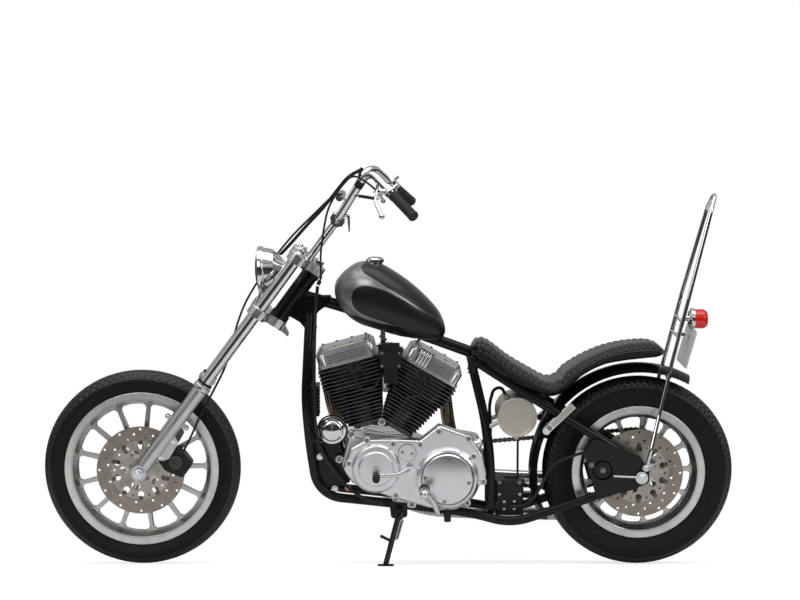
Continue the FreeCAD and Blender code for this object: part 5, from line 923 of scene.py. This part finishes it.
def stuffSeat(mesh, pinned):
    # the filling presses the top out between the sewn lines
    item = bpy.data.objects.new("seatCloth", mesh)
    scene.collection.objects.link(item)
    group = item.vertex_groups.new(name="sewn")
    group.add([int(i) for i in np.flatnonzero(pinned.reshape(-1))], 1.0, "REPLACE")
    cloth = item.modifiers.new("cloth", "CLOTH")
    settings = cloth.settings
    settings.vertex_group_mass = "sewn"
    settings.quality = 4
    settings.mass = 0.4
    settings.use_pressure = True
    settings.uniform_pressure_force = seatLook["pressure"]
    settings.effector_weights.gravity = 0
    settings.tension_stiffness = 8
    settings.bending_stiffness = 0.3
    cloth.point_cache.frame_start = 1
    cloth.point_cache.frame_end = seatLook["frames"]
    for step in range(1, seatLook["frames"] + 1):
        scene.frame_set(step)
    ready = item.evaluated_get(bpy.context.evaluated_depsgraph_get())
    moved = np.empty(len(mesh.vertices) * 3)
    ready.data.vertices.foreach_get("co", moved)
    start = np.empty_like(moved)
    mesh.vertices.foreach_get("co", start)
    shift = (moved - start).reshape(-1, 3)
    size = np.linalg.norm(shift, axis=1, keepdims=True)
    shift *= np.minimum(1, seatLook["cap"] / np.maximum(size, 1e-9))
    mesh.vertices.foreach_set("co", (start.reshape(-1, 3) + shift).ravel())
    scene.frame_set(1)
    bpy.data.objects.remove(item)
    print("seat stuffed, most moved %.1f mm" % (float(size.max()) * 1000))


# Hide: pores over a soft grain, worn lighter in patches
leatherLook = {
    "seatLeather": {"dark": (0.0045, 0.0038, 0.0035), "light": (0.011, 0.0085, 0.0075), "rough": (0.24, 0.33),
                    "specular": 0.36, "bump": 0.2},
    "skirtLeather": {"dark": (0.0028, 0.0027, 0.0028), "light": (0.005, 0.0047, 0.0045), "rough": (0.2, 0.28),
                     "specular": 0.22, "bump": 0.1},
}
for name, look in leatherLook.items():
    paints[name], tree, shader = newMaterial(name)
    grain = placeGroup(tree, grainGroup, {"Scale": 260.0, "Patch": 16.0})
    pores = placeGroup(tree, poreGroup, {})["Pores"]
    hide = colourMix(tree, mapTo(tree, grain["Patches"], 0, 1, 0.35, 0.7), look["dark"], look["light"])
    fillInputs(tree, shader, {"Base Color": hide, "Roughness": mapTo(tree, grain["Patches"], *look["rough"], 0.3, 0.7),
                              "Specular IOR Level": look["specular"]})
    addBump(tree, shader, mathNode(tree, "ADD", pores, grain["Grain"]), look["bump"], 0.0003)
buildSeat()
print("seat sewn")

# Grips with fine ribs and capped ends
gripLook = {"ribs": 26, "ribRise": 0.9, "radius": 15.7, "long": 118, "end": 17.4, "barEnd": (-141, 372, 1229),
            "barKnee": (52, 178, 1255)}


def gripProfile():
    radius, end, long = gripLook["radius"], gripLook["end"], gripLook["long"]
    profile = [(0, -5.2), (4, -5.6), (12, -6.0), (end - 1, -5.2), (end, -3), (end, 1), (radius, 2.5)]
    pitch = (long - 14) / gripLook["ribs"]
    for rib in range(gripLook["ribs"]):
        for share, rise in ((0.1, 0), (0.3, 1), (0.7, 1), (0.9, 0)):
            profile.append((radius + gripLook["ribRise"] * rise, 5 + (rib + share) * pitch))
    return profile + [(radius, long - 7), (end + 0.6, long - 5), (end + 0.6, long + 1), (13.2, long + 1.5)]


for name, side in (("Left", 1), ("Right", -1)):
    barEnd, barKnee = [Vector((x, y * side, z)) for x, y, z in (gripLook["barEnd"], gripLook["barKnee"])]
    bm = bmesh.new()
    addTurned(bm, gripProfile(), facing(barEnd, barKnee - barEnd), 40)
    grip = addPiece("ribbedGrip" + name, bm, "gripRubber", "fork", forkFrame, 40)
    if side == 1:
        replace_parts(grip, "grips")
print("grips made")

# Chain: pinned plates and rollers round both sprockets
chainLook = {"big": 121.4, "small": 53.3, "smallAt": (610, 16.5), "side": -86, "links": 112, "plate": 7.4, "waist": 4.6,
             "outerPlate": (4.9, 6.4), "innerPlate": (3.3, 4.8),
             "roller": [(0, -7.2), (2.4, -7.2), (2.4, -3.2), (4.9, -3.2), (4.9, 3.2), (2.4, 3.2), (2.4, 7.2), (0, 7.2)]}


def chainPins():
    # pins spread evenly: upper run, front sprocket, lower run, rear sprocket
    big, small = chainLook["big"], chainLook["small"]
    middle = Vector((chainLook["smallAt"][0], 0, chainLook["smallAt"][1]))
    turn = math.atan2(middle.z, middle.x)
    tilt = math.acos((big - small) / middle.length)
    run = math.sqrt(middle.length ** 2 - (big - small) ** 2)
    smallWrap, bigWrap = 2 * tilt * small, 2 * (math.pi - tilt) * big

    def onRing(angle, radius):
        return Vector((math.cos(angle), 0, math.sin(angle))) * radius

    upper, lower = turn + tilt, turn - tilt
    pins = []
    for k in range(chainLook["links"]):
        d = (2 * run + smallWrap + bigWrap) * k / chainLook["links"]
        if d < run:
            pin = onRing(upper, big).lerp(middle + onRing(upper, small), d / run)
        elif d < run + smallWrap:
            pin = middle + onRing(upper - (d - run) / small, small)
        elif d < 2 * run + smallWrap:
            pin = (middle + onRing(lower, small)).lerp(onRing(lower, big), (d - run - smallWrap) / run)
        else:
            pin = onRing(lower - (d - 2 * run - smallWrap) / big, big)
        pins.append(pin)
    return pins


def linkOutline(half):
    # two round ends and a waist between them
    outline = []
    for centre, first, waist in ((half, -90, chainLook["waist"]), (-half, 90, -chainLook["waist"])):
        for step in range(7):
            angle = math.radians(first + step * 30)
            outline.append((centre + chainLook["plate"] * math.cos(angle), chainLook["plate"] * math.sin(angle)))
        outline.append((0, waist))
    return outline


pins = chainPins()
bm = bmesh.new()
for k, pin in enumerate(pins):
    following = pins[(k + 1) % len(pins)]
    ahead = following - pin
    turn = -math.degrees(math.atan2(ahead.z, ahead.x))
    place = Matrix.Translation((pin + following) / 2) @ at((0, chainLook["side"], 0), (0, turn, 0))
    for side in (1, -1):
        faces = chainLook["innerPlate" if k % 2 else "outerPlate"]
        joinRings(bm, [[place @ Vector((x, side * y, z)) for x, z in linkOutline(ahead.length / 2)] for y in faces])
    addTurned(bm, chainLook["roller"], Matrix.Translation(pin) @ at((0, chainLook["side"], 0)), 10)
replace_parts(addPiece("chainLinks", bm, "darkSteel", "chassis", rearFrame, 30), "chain")
print("chain linked")

# Headlamp: a fluted clear lens over a bright bowl and bulb; profiles run along the lamp's axis
lampLook = {
    "at": (1173, 0, 991.6), "aim": (1, 0, -0.04),
    "lens": [(69.4, 80.2), (69.4, 84.6), (62, 89), (52, 92.3), (40, 95), (25, 97), (10, 97.9), (0, 98), (0, 95.4),
             (10, 95.3), (25, 94.4), (40, 92.4), (52, 89.7), (61, 86.5), (66.5, 83.4), (66.5, 80.2)],
    "bowl": [(66, 85.5), (58, 82.4), (44, 80.6), (28, 79.9), (12, 79.7), (12, 82), (9, 84), (0, 84)],
    "bulb": [(9, 84), (10, 88), (9, 91), (5, 93), (0, 93.6)],
    "rim": [(72.5, 84.4), (77.5, 84.2), (78.6, 80), (78.6, 72), (77.4, 70)],
}
lampFrame = upright @ facing(lampLook["at"], lampLook["aim"])
for name, finish, slotName, segments, sharp in (("lens", "clearGlass", "lamp_lens", 72, 50),
                                                ("bowl", "chrome", "chrome", 64, 40),
                                                ("bulb", "satinAlloy", "chrome", 32, 60),
                                                ("rim", "chrome", "chrome", 72, 50)):
    bm = bmesh.new()
    addTurned(bm, lampLook[name], segments=segments)
    piece = addPiece("lamp" + name.capitalize(), bm, finish, "fork", lampFrame, sharp)
    if name == "lens":
        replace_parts(piece, "headlight_lens")
print("headlamp made")


# Rocker boxes: raised ribs, dark strips of painted shade between them, round ends, pale gasket tops and their screws
rockerLook = {
    "wall": 86, "ribs": 5, "ribFirst": 363.4, "ribPitch": 7.5, "ribHigh": 4.4, "ribOut": 4.4, "ribHalf": 66,
    "grooveShadeHalf": 1.5, "endAt": (82, 77, 355), "gasketHalf": (84, 72), "gasketSquare": 0.35, "gasketWaves": 10,
    "gasketSwing": 0.028, "gasketLevels": ((407.6, 1), (411.2, 1), (412.0, 0.985)),
}


def gasketOutline(count=120):
    points = []
    for step in range(count):
        angle = 2 * math.pi * step / count
        wave = 1 + rockerLook["gasketSwing"] * math.sin(angle * rockerLook["gasketWaves"])
        points.append([wave * half * math.copysign(abs(turn) ** rockerLook["gasketSquare"], turn)
                       for half, turn in zip(rockerLook["gasketHalf"], (math.cos(angle), math.sin(angle)))])
    return points


def dressRockerBox(name, here):
    look = rockerLook
    ribs, grooves, gasket = bmesh.new(), bmesh.new(), bmesh.new()
    for side in (1, -1):
        for rib in range(look["ribs"]):
            level = look["ribFirst"] + rib * look["ribPitch"] - look["ribHigh"] / 2
            addSideBox(ribs, side, (-look["ribHalf"], look["wall"], level),
                       (look["ribHalf"], look["wall"] + look["ribOut"], level + look["ribHigh"]), bevel=0.9)
        # Dark strips between the ribs stand in for the shade inside the grooves: painted shade
        for rib in range(look["ribs"] - 1):
            level = look["ribFirst"] + (rib + 0.5) * look["ribPitch"]
            addSideBox(grooves, side, (-look["ribHalf"], look["wall"] - 1, level - look["grooveShadeHalf"]),
                       (look["ribHalf"], look["wall"] + look["ribOut"] * 0.3, level + look["grooveShadeHalf"]))
        for end in (1, -1):
            x, y, z = look["endAt"]
            addTurned(ribs, [(0, 0), (11, 0), (13, 2), (13, 42), (11, 45), (0, 46)],
                      facing((end * x, side * y, z), upward), 24)
    joinRings(gasket, [[(x * k, y * k, z) for x, y in gasketOutline()] for z, k in look["gasketLevels"]])
    addPiece(name + "RockerRibs", ribs, "castSilver", "chassis", here)
    addPiece(name + "RockerGrooveShade", grooves, "darkSteel", "chassis", here)
    addPiece(name + "RockerGasket", gasket, "creamGasket", "chassis", here)
    spots = [((x, y, 411.8), upward) for x in (-74, -26, 26, 74) for y in (-64, 64)]
    addBolts("chassis", here, [(name + "RockerScrews", socketBolt, "boltSteel", 4.6, 5, spots)])


dressRockerBox("front", cylinderFrame(1))
dressRockerBox("rear", cylinderFrame(-1))
print("rocker boxes dressed")

# Screws of the engine covers, each in its raised boss; pairs are ahead of and above the crank
coverLook = {
    "primary": [(29, 94), (-57, 82), (-145, 80), (-206, 123), (-303, 99), (-319, 41), (-352, -44), (-300, -114),
                (-66, -89), (88, 17), (-207, -128)],
    "case": [(81, 104), (121, 21), (-19, 145)],
    "clutch": [(-240, 38), (-162, -25), (-303, -42), (-224, -104)],
    "cam": [(75, -5), (50, -68), (-11, -86), (-98, -76), (-135, -18), (-117, 78), (-68, 92), (15, 98), (68, 70)],
    "timer": [(22 + 30 * c, -2 + 30 * s) for c, s in ((0.9, 0.44), (-0.83, 0.56), (-0.07, -1))],
    "filter": [(-36 + 12 * c, 290 + 12 * s) for c, s in ((0, 1), (0.87, -0.5), (-0.87, -0.5))],
    "primaryBoss": [(0, 132), (13, 132), (11, 150.4), (9.6, 151.6), (7.6, 151.6), (7.2, 150.6), (0, 150.6)],
    "caseBoss": [(0, 90), (14, 90), (12, 100.4), (9.6, 101.4), (8, 101.4), (7.6, 100.4), (0, 100.4)],
    "joints": [((-103, 151.4, 53), 28.6, 1.0), ((-235, 171.2, -31), 85.7, 1.1), ((-5, 151.2, -3), 68, 0.7)],
    "ribs": [(73, 123, 48, 121), (39, 128, -24, 114), (-29, 111, -89, 106), (70, 99, 39, 94), (30, 112, -70, 100)],
    "pleats": 40,
}
bm = bmesh.new()
for profile, spots in ((coverLook["primaryBoss"], coverLook["primary"]), (coverLook["caseBoss"], coverLook["case"])):
    for x, z in spots:
        addTurned(bm, profile, at((x, 0, z)), 28)
addPiece("coverBosses", bm, "polishedAlloy", "chassis", crankFrame, 40)
addBolts("chassis", crankFrame, [
    ("coverScrews", socketBolt, "boltSteel", 5.4, 5, leftFace(150.5, coverLook["primary"])),
    ("clutchScrews", socketBolt, "boltSteel", 5.6, 4.6, leftFace(176.2, coverLook["clutch"])),
    ("caseBolts", hexBolt, "boltSteel", 6.4, 5, leftFace(100.4, coverLook["case"])),
    ("plateBolts", hexBolt, "chrome", 8, 8, leftFace(80, [(185, 26), (136, -81)])),
    ("drainPlug", hexBolt, "copper", 8, 9, [(93, 80, -78)]),
    ("capScrews", domeBolt, "copper", 4, 2.4, leftFace(153.6, [(-119, 51), (-87, 55)])),
])
bm = bmesh.new()
for middle, radius, thick in coverLook["joints"]:
    addHoop(bm, at(middle), radius, thick)
addPiece("coverJoints", bm, "satinBlack", "chassis", crankFrame)
# Ribs on the crankcase, each with a dark line just below it that is its painted shadow
bm, dark = bmesh.new(), bmesh.new()
for x, z, toX, toZ in coverLook["ribs"]:
    addTube(bm, [(x, 99.6, z), ((x + toX) / 2, 100.4, (z + toZ) / 2), (toX, 99.6, toZ)], 2.3, 10)
    addTube(dark, [(x, 99.9, z - 4), (toX, 99.9, toZ - 4)], 1.1, 8)
addPiece("caseRibs", bm, "polishedAlloy", "chassis", crankFrame)
addPiece("caseRibShadows", dark, "darkSteel", "chassis", crankFrame)
addBolts("chassis", crankFrame, [
    ("camScrews", socketBolt, "boltSteel", 5.4, 5, rightFace(141.6, coverLook["cam"])),
    ("timerScrews", domeBolt, "boltSteel", 3.6, 3, rightFace(149.6, coverLook["timer"])),
    ("filterScrews", domeBolt, "boltSteel", 3.4, 3.6, rightFace(193, coverLook["filter"])),
])
bm = bmesh.new()
for step in range(coverLook["pleats"]):
    turn = Matrix.Rotation(2 * math.pi * step / coverLook["pleats"], 4, "Y")
    addBox(bm, (84.2, -179, -1.6), (86.8, -160, 1.6), at((-36, 0, 290)) @ turn, bevel=0.6)
addPiece("filterPleats", bm, "darkSteel", "chassis", crankFrame)

# Starter cap with its wire, bottom plate, rubber sleeves and bands, horn ring
leverLook = {
    "ribs": 8, "ribPitch": 7, "radius": 12.6, "waist": 11.4, "pegBands": 3, "bandPitch": 12.5,
    "plate": [(-50, -106), (-58, -122), (-116, -142), (-130, -140), (-134, -128), (-124, -116), (-72, -108)],
}
bm = bmesh.new()
addTurned(bm, [(0, 96), (17, 96), (17, 108), (12, 112), (12, 118), (8, 122), (0, 123)], at((-335, 0, 74)), 32)
addTube(bm, smoothRoute([(-335, 114, 62), (-337, 116, 40), (-350, 116, 38), (-352, 112, 60)]), 1.6, 8)
addPiece("starterCap", bm, "chrome", "chassis", crankFrame)
bm = bmesh.new()
joinRings(bm, [leftFace(across, leverLook["plate"]) for across in (94, 100)])
addPiece("bottomPlate", bm, "castSilver", "chassis", crankFrame)
bottomBolts = leftFace(100, [(-63, -116), (-118, -131)])
addBolts("chassis", crankFrame, [("bottomBolts", hexBolt, "boltSteel", 5, 5, bottomBolts)])
bm = bmesh.new()
sleeve = [(0, -2), (11.6, -2), (leverLook["radius"], 0)]
for rib in range(leverLook["ribs"]):
    start = rib * leverLook["ribPitch"]
    sleeve += [(leverLook["radius"], start + 3), (leverLook["waist"], start + 4.5), (leverLook["radius"], start + 6)]
addTurned(bm, sleeve + [(12.6, 62), (10, 65.5), (0, 66.5)], at((-2, 180, -18)), 28)
addTurned(bm, [(8, 0), (12, 0), (13, 4), (12, 20), (11, 36), (0, 38)], facing((-236, 104, -150), (0, 0.1, -1)), 24)
addPiece("leverRubber", bm, "rubber", "chassis", crankFrame)
bm = bmesh.new()
for side in (1, -1):
    for band in range(leverLook["pegBands"]):
        across = side * (212 + band * leverLook["bandPitch"]) - (9 if side < 0 else 0)
        addTurned(bm, [(15.8, 0), (17.2, 1), (17.2, 8), (15.8, 9)], at((-158, across, -56)), 28)
addPiece("pegBands", bm, "rubber", "chassis", crankFrame)
bm = bmesh.new()
addTurned(bm, [(46, 86), (50, 87), (51, 92), (50, 98), (46.5, 99)], at((144, 0, 118)), 48)
addPiece("hornRing", bm, "satinBlack", "chassis", crankFrame)

# Fluted chrome bracket on the rear rocker box, the coil's bolts and the boots of both plugs
bm = bmesh.new()
for flute in range(4):
    addTurned(bm, [(0, 0), (4.4, 0), (5.2, 1.5), (5.2, 50), (4.4, 52), (0, 52)],
              facing((26 + flute * 11, 95, 362), upward), 20)
addBox(bm, (20, 84, 366), (66, 95, 410), bevel=1.5)
addBox(bm, (16, 70, 406), (70, 101, 416), bevel=3)
addPiece("flutedBracket", bm, "chrome", "chassis", cylinderFrame(-1))
coilBolts = leftFace(124, [(-76, 335), (-20, 335), (-76, 377), (-20, 377)])
addBolts("chassis", crankFrame, [("coilBolts", domeBolt, "boltSteel", 3.6, 3, coilBolts)])
bm = bmesh.new()
for sign in (1, -1):
    place = crankFrame.inverted() @ cylinderFrame(sign)
    bootFrom, bootTo = place @ Vector((-13 * sign, 84, 329.5)), place @ Vector((-13 * sign, 104, 331))
    addTube(bm, [bootFrom, bootFrom.lerp(bootTo, 0.5), bootTo], lambda t: 9.2 - 3 * t, 18)
addPiece("plugBoots", bm, "rubber", "chassis", crankFrame)
print("engine dressed")

# Fork fastenings, seals and the caliper's turned rings
forkLook = {
    "clamps": {"Lower": 660, "Upper": 879},
    "caliperRings": ((21, 99.2), (14, 100.4), (6, 101.4)),
    "clampArm": [(990, 58, 1164), (972, 60, 1178), (962, 60, 1176), (959, 61, 1150), (958, 62, 1119)],
    "barWires": [(69.5, 149, 1240), (73, 149, 1247), (69, 150, 1228), (52, 153, 1201)],
}
for name, level in forkLook["clamps"].items():
    bm, dark = bmesh.new(), bmesh.new()
    for side in (1, -1):
        place = facing((35, side * 104, level), (0, side, 0))
        addTurned(bm, [(0, 0), (11, 0), (11, 10), (9, 12.4), (8, 12.4), (7.6, 11), (0, 11)], place, 28)
        socketBolt(bm, place @ at((0, 9.6, 0)), 5.4, 5)
        addHoop(dark, place @ at((0, 12.2, 0)), 9.2, 1.3, 32)
    addPiece("pinchBolts" + name, bm, "satinAlloy", "fork", forkFrame)
    addPiece("pinchRings" + name, dark, "rubber", "fork", forkFrame)
addBolts("fork", forkFrame, [
    ("tabBolts", domeBolt, "chrome", 5.6, 6, bothSides(104, [(30, 212), (102, 208)])),
    ("caliperBolts", hexBolt, "chrome", 7, 7, leftFace(106, [(40, 84), (38, 152)])),
])
bm = bmesh.new()
for radius, face in forkLook["caliperRings"]:
    inner = radius - 3
    ring = [(inner, face - 1.6), (radius, face - 1.6), (radius, face), (radius - 1, face + 0.6), (inner, face)]
    addTurned(bm, ring, at((-9, 0, 96)), 36)
addPiece("caliperRings", bm, "darkSteel", "fork", forkFrame)
addBolts("fork", forkFrame, [
    ("capBolts", socketBolt, "chrome", 4.4, 6,
     [((34 + x, side * 38 + y, 1062), upward) for side in (1, -1) for x in (-17, 17) for y in (-7, 7)]),
    ("stemNut", hexBolt, "chrome", 17, 16, [((0, 0, 895), upward)]),
    ("axleNuts", hexBolt, "chrome", 12, 6, bothSides(136.2, [(68, 0)])),
    ("forkCaps", hexBolt, "chrome", 11, 8, [((68, side * 100, 901.6), upward) for side in (1, -1)]),
])
bm = bmesh.new()
for side in (1, -1):
    addTurned(bm, [(20.4, 365), (26.6, 365), (27, 368), (25, 372), (20.6, 373)],
              facing((68, side * 100, 0), upward), 40)
addPiece("dustSeals", bm, "rubber", "fork", forkFrame)
bm = bmesh.new()
addTube(bm, smoothRoute(forkLook["clampArm"]), lambda t: 7.5 - 5.5 * t ** 2, 14)
addPiece("clampArm", bm, "chrome", "fork", upright)
bm = bmesh.new()
addTube(bm, [(-33, 58, 876), (-36, 58, 862), (-39, 58, 850.5)], 3.5, 14)
addTurned(bm, [(0, 0), (6.4, 0), (6.6, 1), (6.6, 12), (5, 16), (3.4, 17)], facing((-40.2, 58, 846), (0.22, 0, 1)), 20)
addPiece("loomEnd", bm, "rubber", "fork", forkFrame)
bm = bmesh.new()  # the bar wires bend into a taped hole in the bar
addTube(bm, smoothRoute(forkLook["barWires"], 6), 5.4, 14)
addTurned(bm, [(12.9, -13), (14.1, -12), (14.4, 0), (14.1, 12), (12.9, 13)], facing((47, 154, 1199), (18, 86, 202)), 28)
addPiece("wireEntry", bm, "rubber", "fork", forkFrame)
print("fork dressed")

# Rear end fastenings, rims of the oil tank and the petcock's lever
oilTank = {"ahead": 406, "up": 510, "half": 96, "radius": 62}
addBolts("chassis", rearFrame, [
    ("rearAxleNuts", hexBolt, "chrome", 15, 9, bothSides(150, [(0, 0)])),
    ("barFootBolts", domeBolt, "chrome", 9, 9, bothSides(147, [(-14, 33)])),
    ("rearCaliperBolts", hexBolt, "boltSteel", 7, 6, [(127, 140, 23), (164, 134, 40)]),
])
bm = bmesh.new()
addTurned(bm, [(31, 12), (34.5, 12), (35, 15), (34.5, 19.5), (32.4, 20)], facing((-165, 0, 507.5), (-1, 0, 0)), 48)
addPiece("tailRing", bm, "chrome", "chassis", rearFrame)
bm = bmesh.new()
for side in (1, -1):
    rim = [(oilTank["radius"] + out, side * (oilTank["half"] - inward))
           for out, inward in ((0, 0), (3.4, 1), (3.8, 4), (3.8, 10), (3.2, 12))]
    addTurned(bm, rim, at((oilTank["ahead"], 0, oilTank["up"])), 64)
addPiece("oilTankRims", bm, "polishedAlloy", "chassis", upright)
bm = bmesh.new()
addTube(bm, [(858, 44, 776), (848, 46, 768), (836, 47, 760)], lambda t: 6 - 1.5 * t, 12)
addPiece("petcockLever", bm, "redPaint", "chassis", upright)

# Welded joints between the seat posts and the upper rails
bm = bmesh.new()
for side in (1, -1):
    route = smoothRoute([(x, y * side, z) for x, y, z in ((550, 40.4, 652), (549, 41.5, 668), (551, 46, 682),
                                                          (557, 57, 700))], 6)
    addTube(bm, route, 15.3, 20)
    for place, direction in ((route[0], upward), ((552, 49 * side, 686), (0.3, 0.55 * side, 0.9))):
        addTurned(bm, [(14, -2.4), (16.4, -2.2), (17, 0), (16.4, 2.2), (14, 2.4)], facing(place, direction), 24)
addPiece("postJoints", bm, "frameBlack", "chassis", upright)

# Folded passenger pegs: pale faces held by small bolts
pegLook = {"pivot": (304, 138, 484), "turn": 180 + 43.5}
bm = bmesh.new()
for side in (1, -1):
    x, y, z = pegLook["pivot"]
    addSideBox(bm, side, (12, 10.6, -7.5), (100, 13.2, 7.5), at((x, y * side, z), (0, pegLook["turn"], 0)), 0.8)
addPiece("pegFaces", bm, "brushedBeige", "chassis", upright)
addBolts("chassis", upright, [("pegBolts", domeBolt, "boltSteel", 6, 5, bothSides(152, [(304, 484)]))])

# Battery box: ribs, screws and the bolts of its lid
boxLook = {
    "half": 60, "ribs": (((387, 238), (469, 256)), ((403, 182), (421, 236)), ((437, 182), (455, 236))),
    "screws": [(412, 196), (446, 196), (412, 222), (446, 222), (394, 247), (462, 247)],
    "lid": [(396, 287), (462, 287)],
}
bm = bmesh.new()
for side in (1, -1):
    for (back, low), (front, high) in boxLook["ribs"]:
        addSideBox(bm, side, (back, boxLook["half"] - 1, low), (front, boxLook["half"] + 2.2, high), bevel=0.8)
addPiece("boxRibs", bm, "satinBlack", "chassis", upright)
addBolts("chassis", upright, [
    ("boxScrews", domeBolt, "chrome", 3.6, 3.4, bothSides(boxLook["half"] + 1.4, boxLook["screws"])),
    ("lidScrews", hexBolt, "boltSteel", 5, 5, bothSides(boxLook["half"] + 3, boxLook["lid"])),
])

# Spring of the side stand, a coil with a hook on each end
springLook = {"pivot": (795, 132, 196), "foot": (838, 226, 50), "turns": 14, "perTurn": 12, "radius": 6.5, "wire": 1.3}
pivot, foot = Vector(springLook["pivot"]), Vector(springLook["foot"])
start, end = pivot.lerp(foot, 0.12) + Vector((-14, 4, 0)), pivot.lerp(foot, 0.5) + Vector((-12, 4, 0))
axis = (end - start).normalized()
one = axis.orthogonal().normalized()
two = axis.cross(one)
coil = []
steps = springLook["turns"] * springLook["perTurn"]
for k in range(steps + 1):
    turn = 2 * math.pi * k / springLook["perTurn"]
    outward = (one * math.cos(turn) + two * math.sin(turn)) * springLook["radius"]
    coil.append(start.lerp(end, k / steps) + outward)
bm = bmesh.new()
addTube(bm, coil, springLook["wire"], 6)
addTube(bm, [start - axis * 10, start, start + axis * 2], springLook["wire"] + 0.1, 6)
addTube(bm, [end - axis * 2, end, end + axis * 8 + Vector((10, 0, 0))], springLook["wire"] + 0.1, 6)
addPiece("standSpring", bm, "boltSteel", "side_stand", upright)
print("rear dressed")

# Rubber boot and cable end at the left hand lever
bm = bmesh.new()
addTube(bm, [(923, 300, 1251), (899, 306, 1248), (874, 312, 1244)], 5.2, 16)
addTube(bm, [(936, 297, 1252), (923, 300, 1251), (860, 316, 1242)], 2.2, 10)
addPiece("leverBoot", bm, "rubber", "fork", upright)
print("lever booted")

# Pale floor that fades into the room
floorMaterial, tree, shader = newMaterial("paleFloor")
tone = studio["floorTone"]
coordinate = objectPlace(tree)
faint = colourMix(tree, noiseNode(tree, coordinate, 3.0, 5.0), (tone,) * 3, (tone * 0.97, tone * 0.965, tone * 0.95))
fillInputs(tree, shader, {"Base Color": faint, "Roughness": 0.6, "Specular IOR Level": 0.2})
away = vectorNode(tree, "LENGTH", vectorNode(tree, "MULTIPLY", coordinate, (0.62, 1, 1)))
toCamera = addNode(tree, "LightPath").outputs["Is Camera Ray"]
glow = addNode(tree, "Emission", {"Color": (1, 1, 1, 1),
                                  "Strength": mathNode(tree, "MULTIPLY", toCamera, studio["floorGlow"])})
lit = addNode(tree, "AddShader", {0: shader.outputs[0], 1: glow.outputs[0]})
clear = addNode(tree, "BsdfTransparent")
faded = addNode(tree, "MixShader", {0: mapTo(tree, away, 0, 1, studio["fadeFrom"], studio["fadeTo"]),
                                    1: lit.outputs[0], 2: clear.outputs[0]})
tree.links.new(faded.outputs[0], tree.nodes["Material Output"].inputs["Surface"])

corners = [(x, y, -0.0005) for y in (4, 0, -4) for x in (-5, 5)]
floorMesh = bpy.data.meshes.new("floor")
floorMesh.from_pydata(corners, [], gridFaces(3, 2))
floorMesh.materials.append(floorMaterial)
floorMesh.shade_smooth()
floor = bpy.data.objects.new("floor", floorMesh)
scene.collection.objects.link(floor)
print("floor laid")
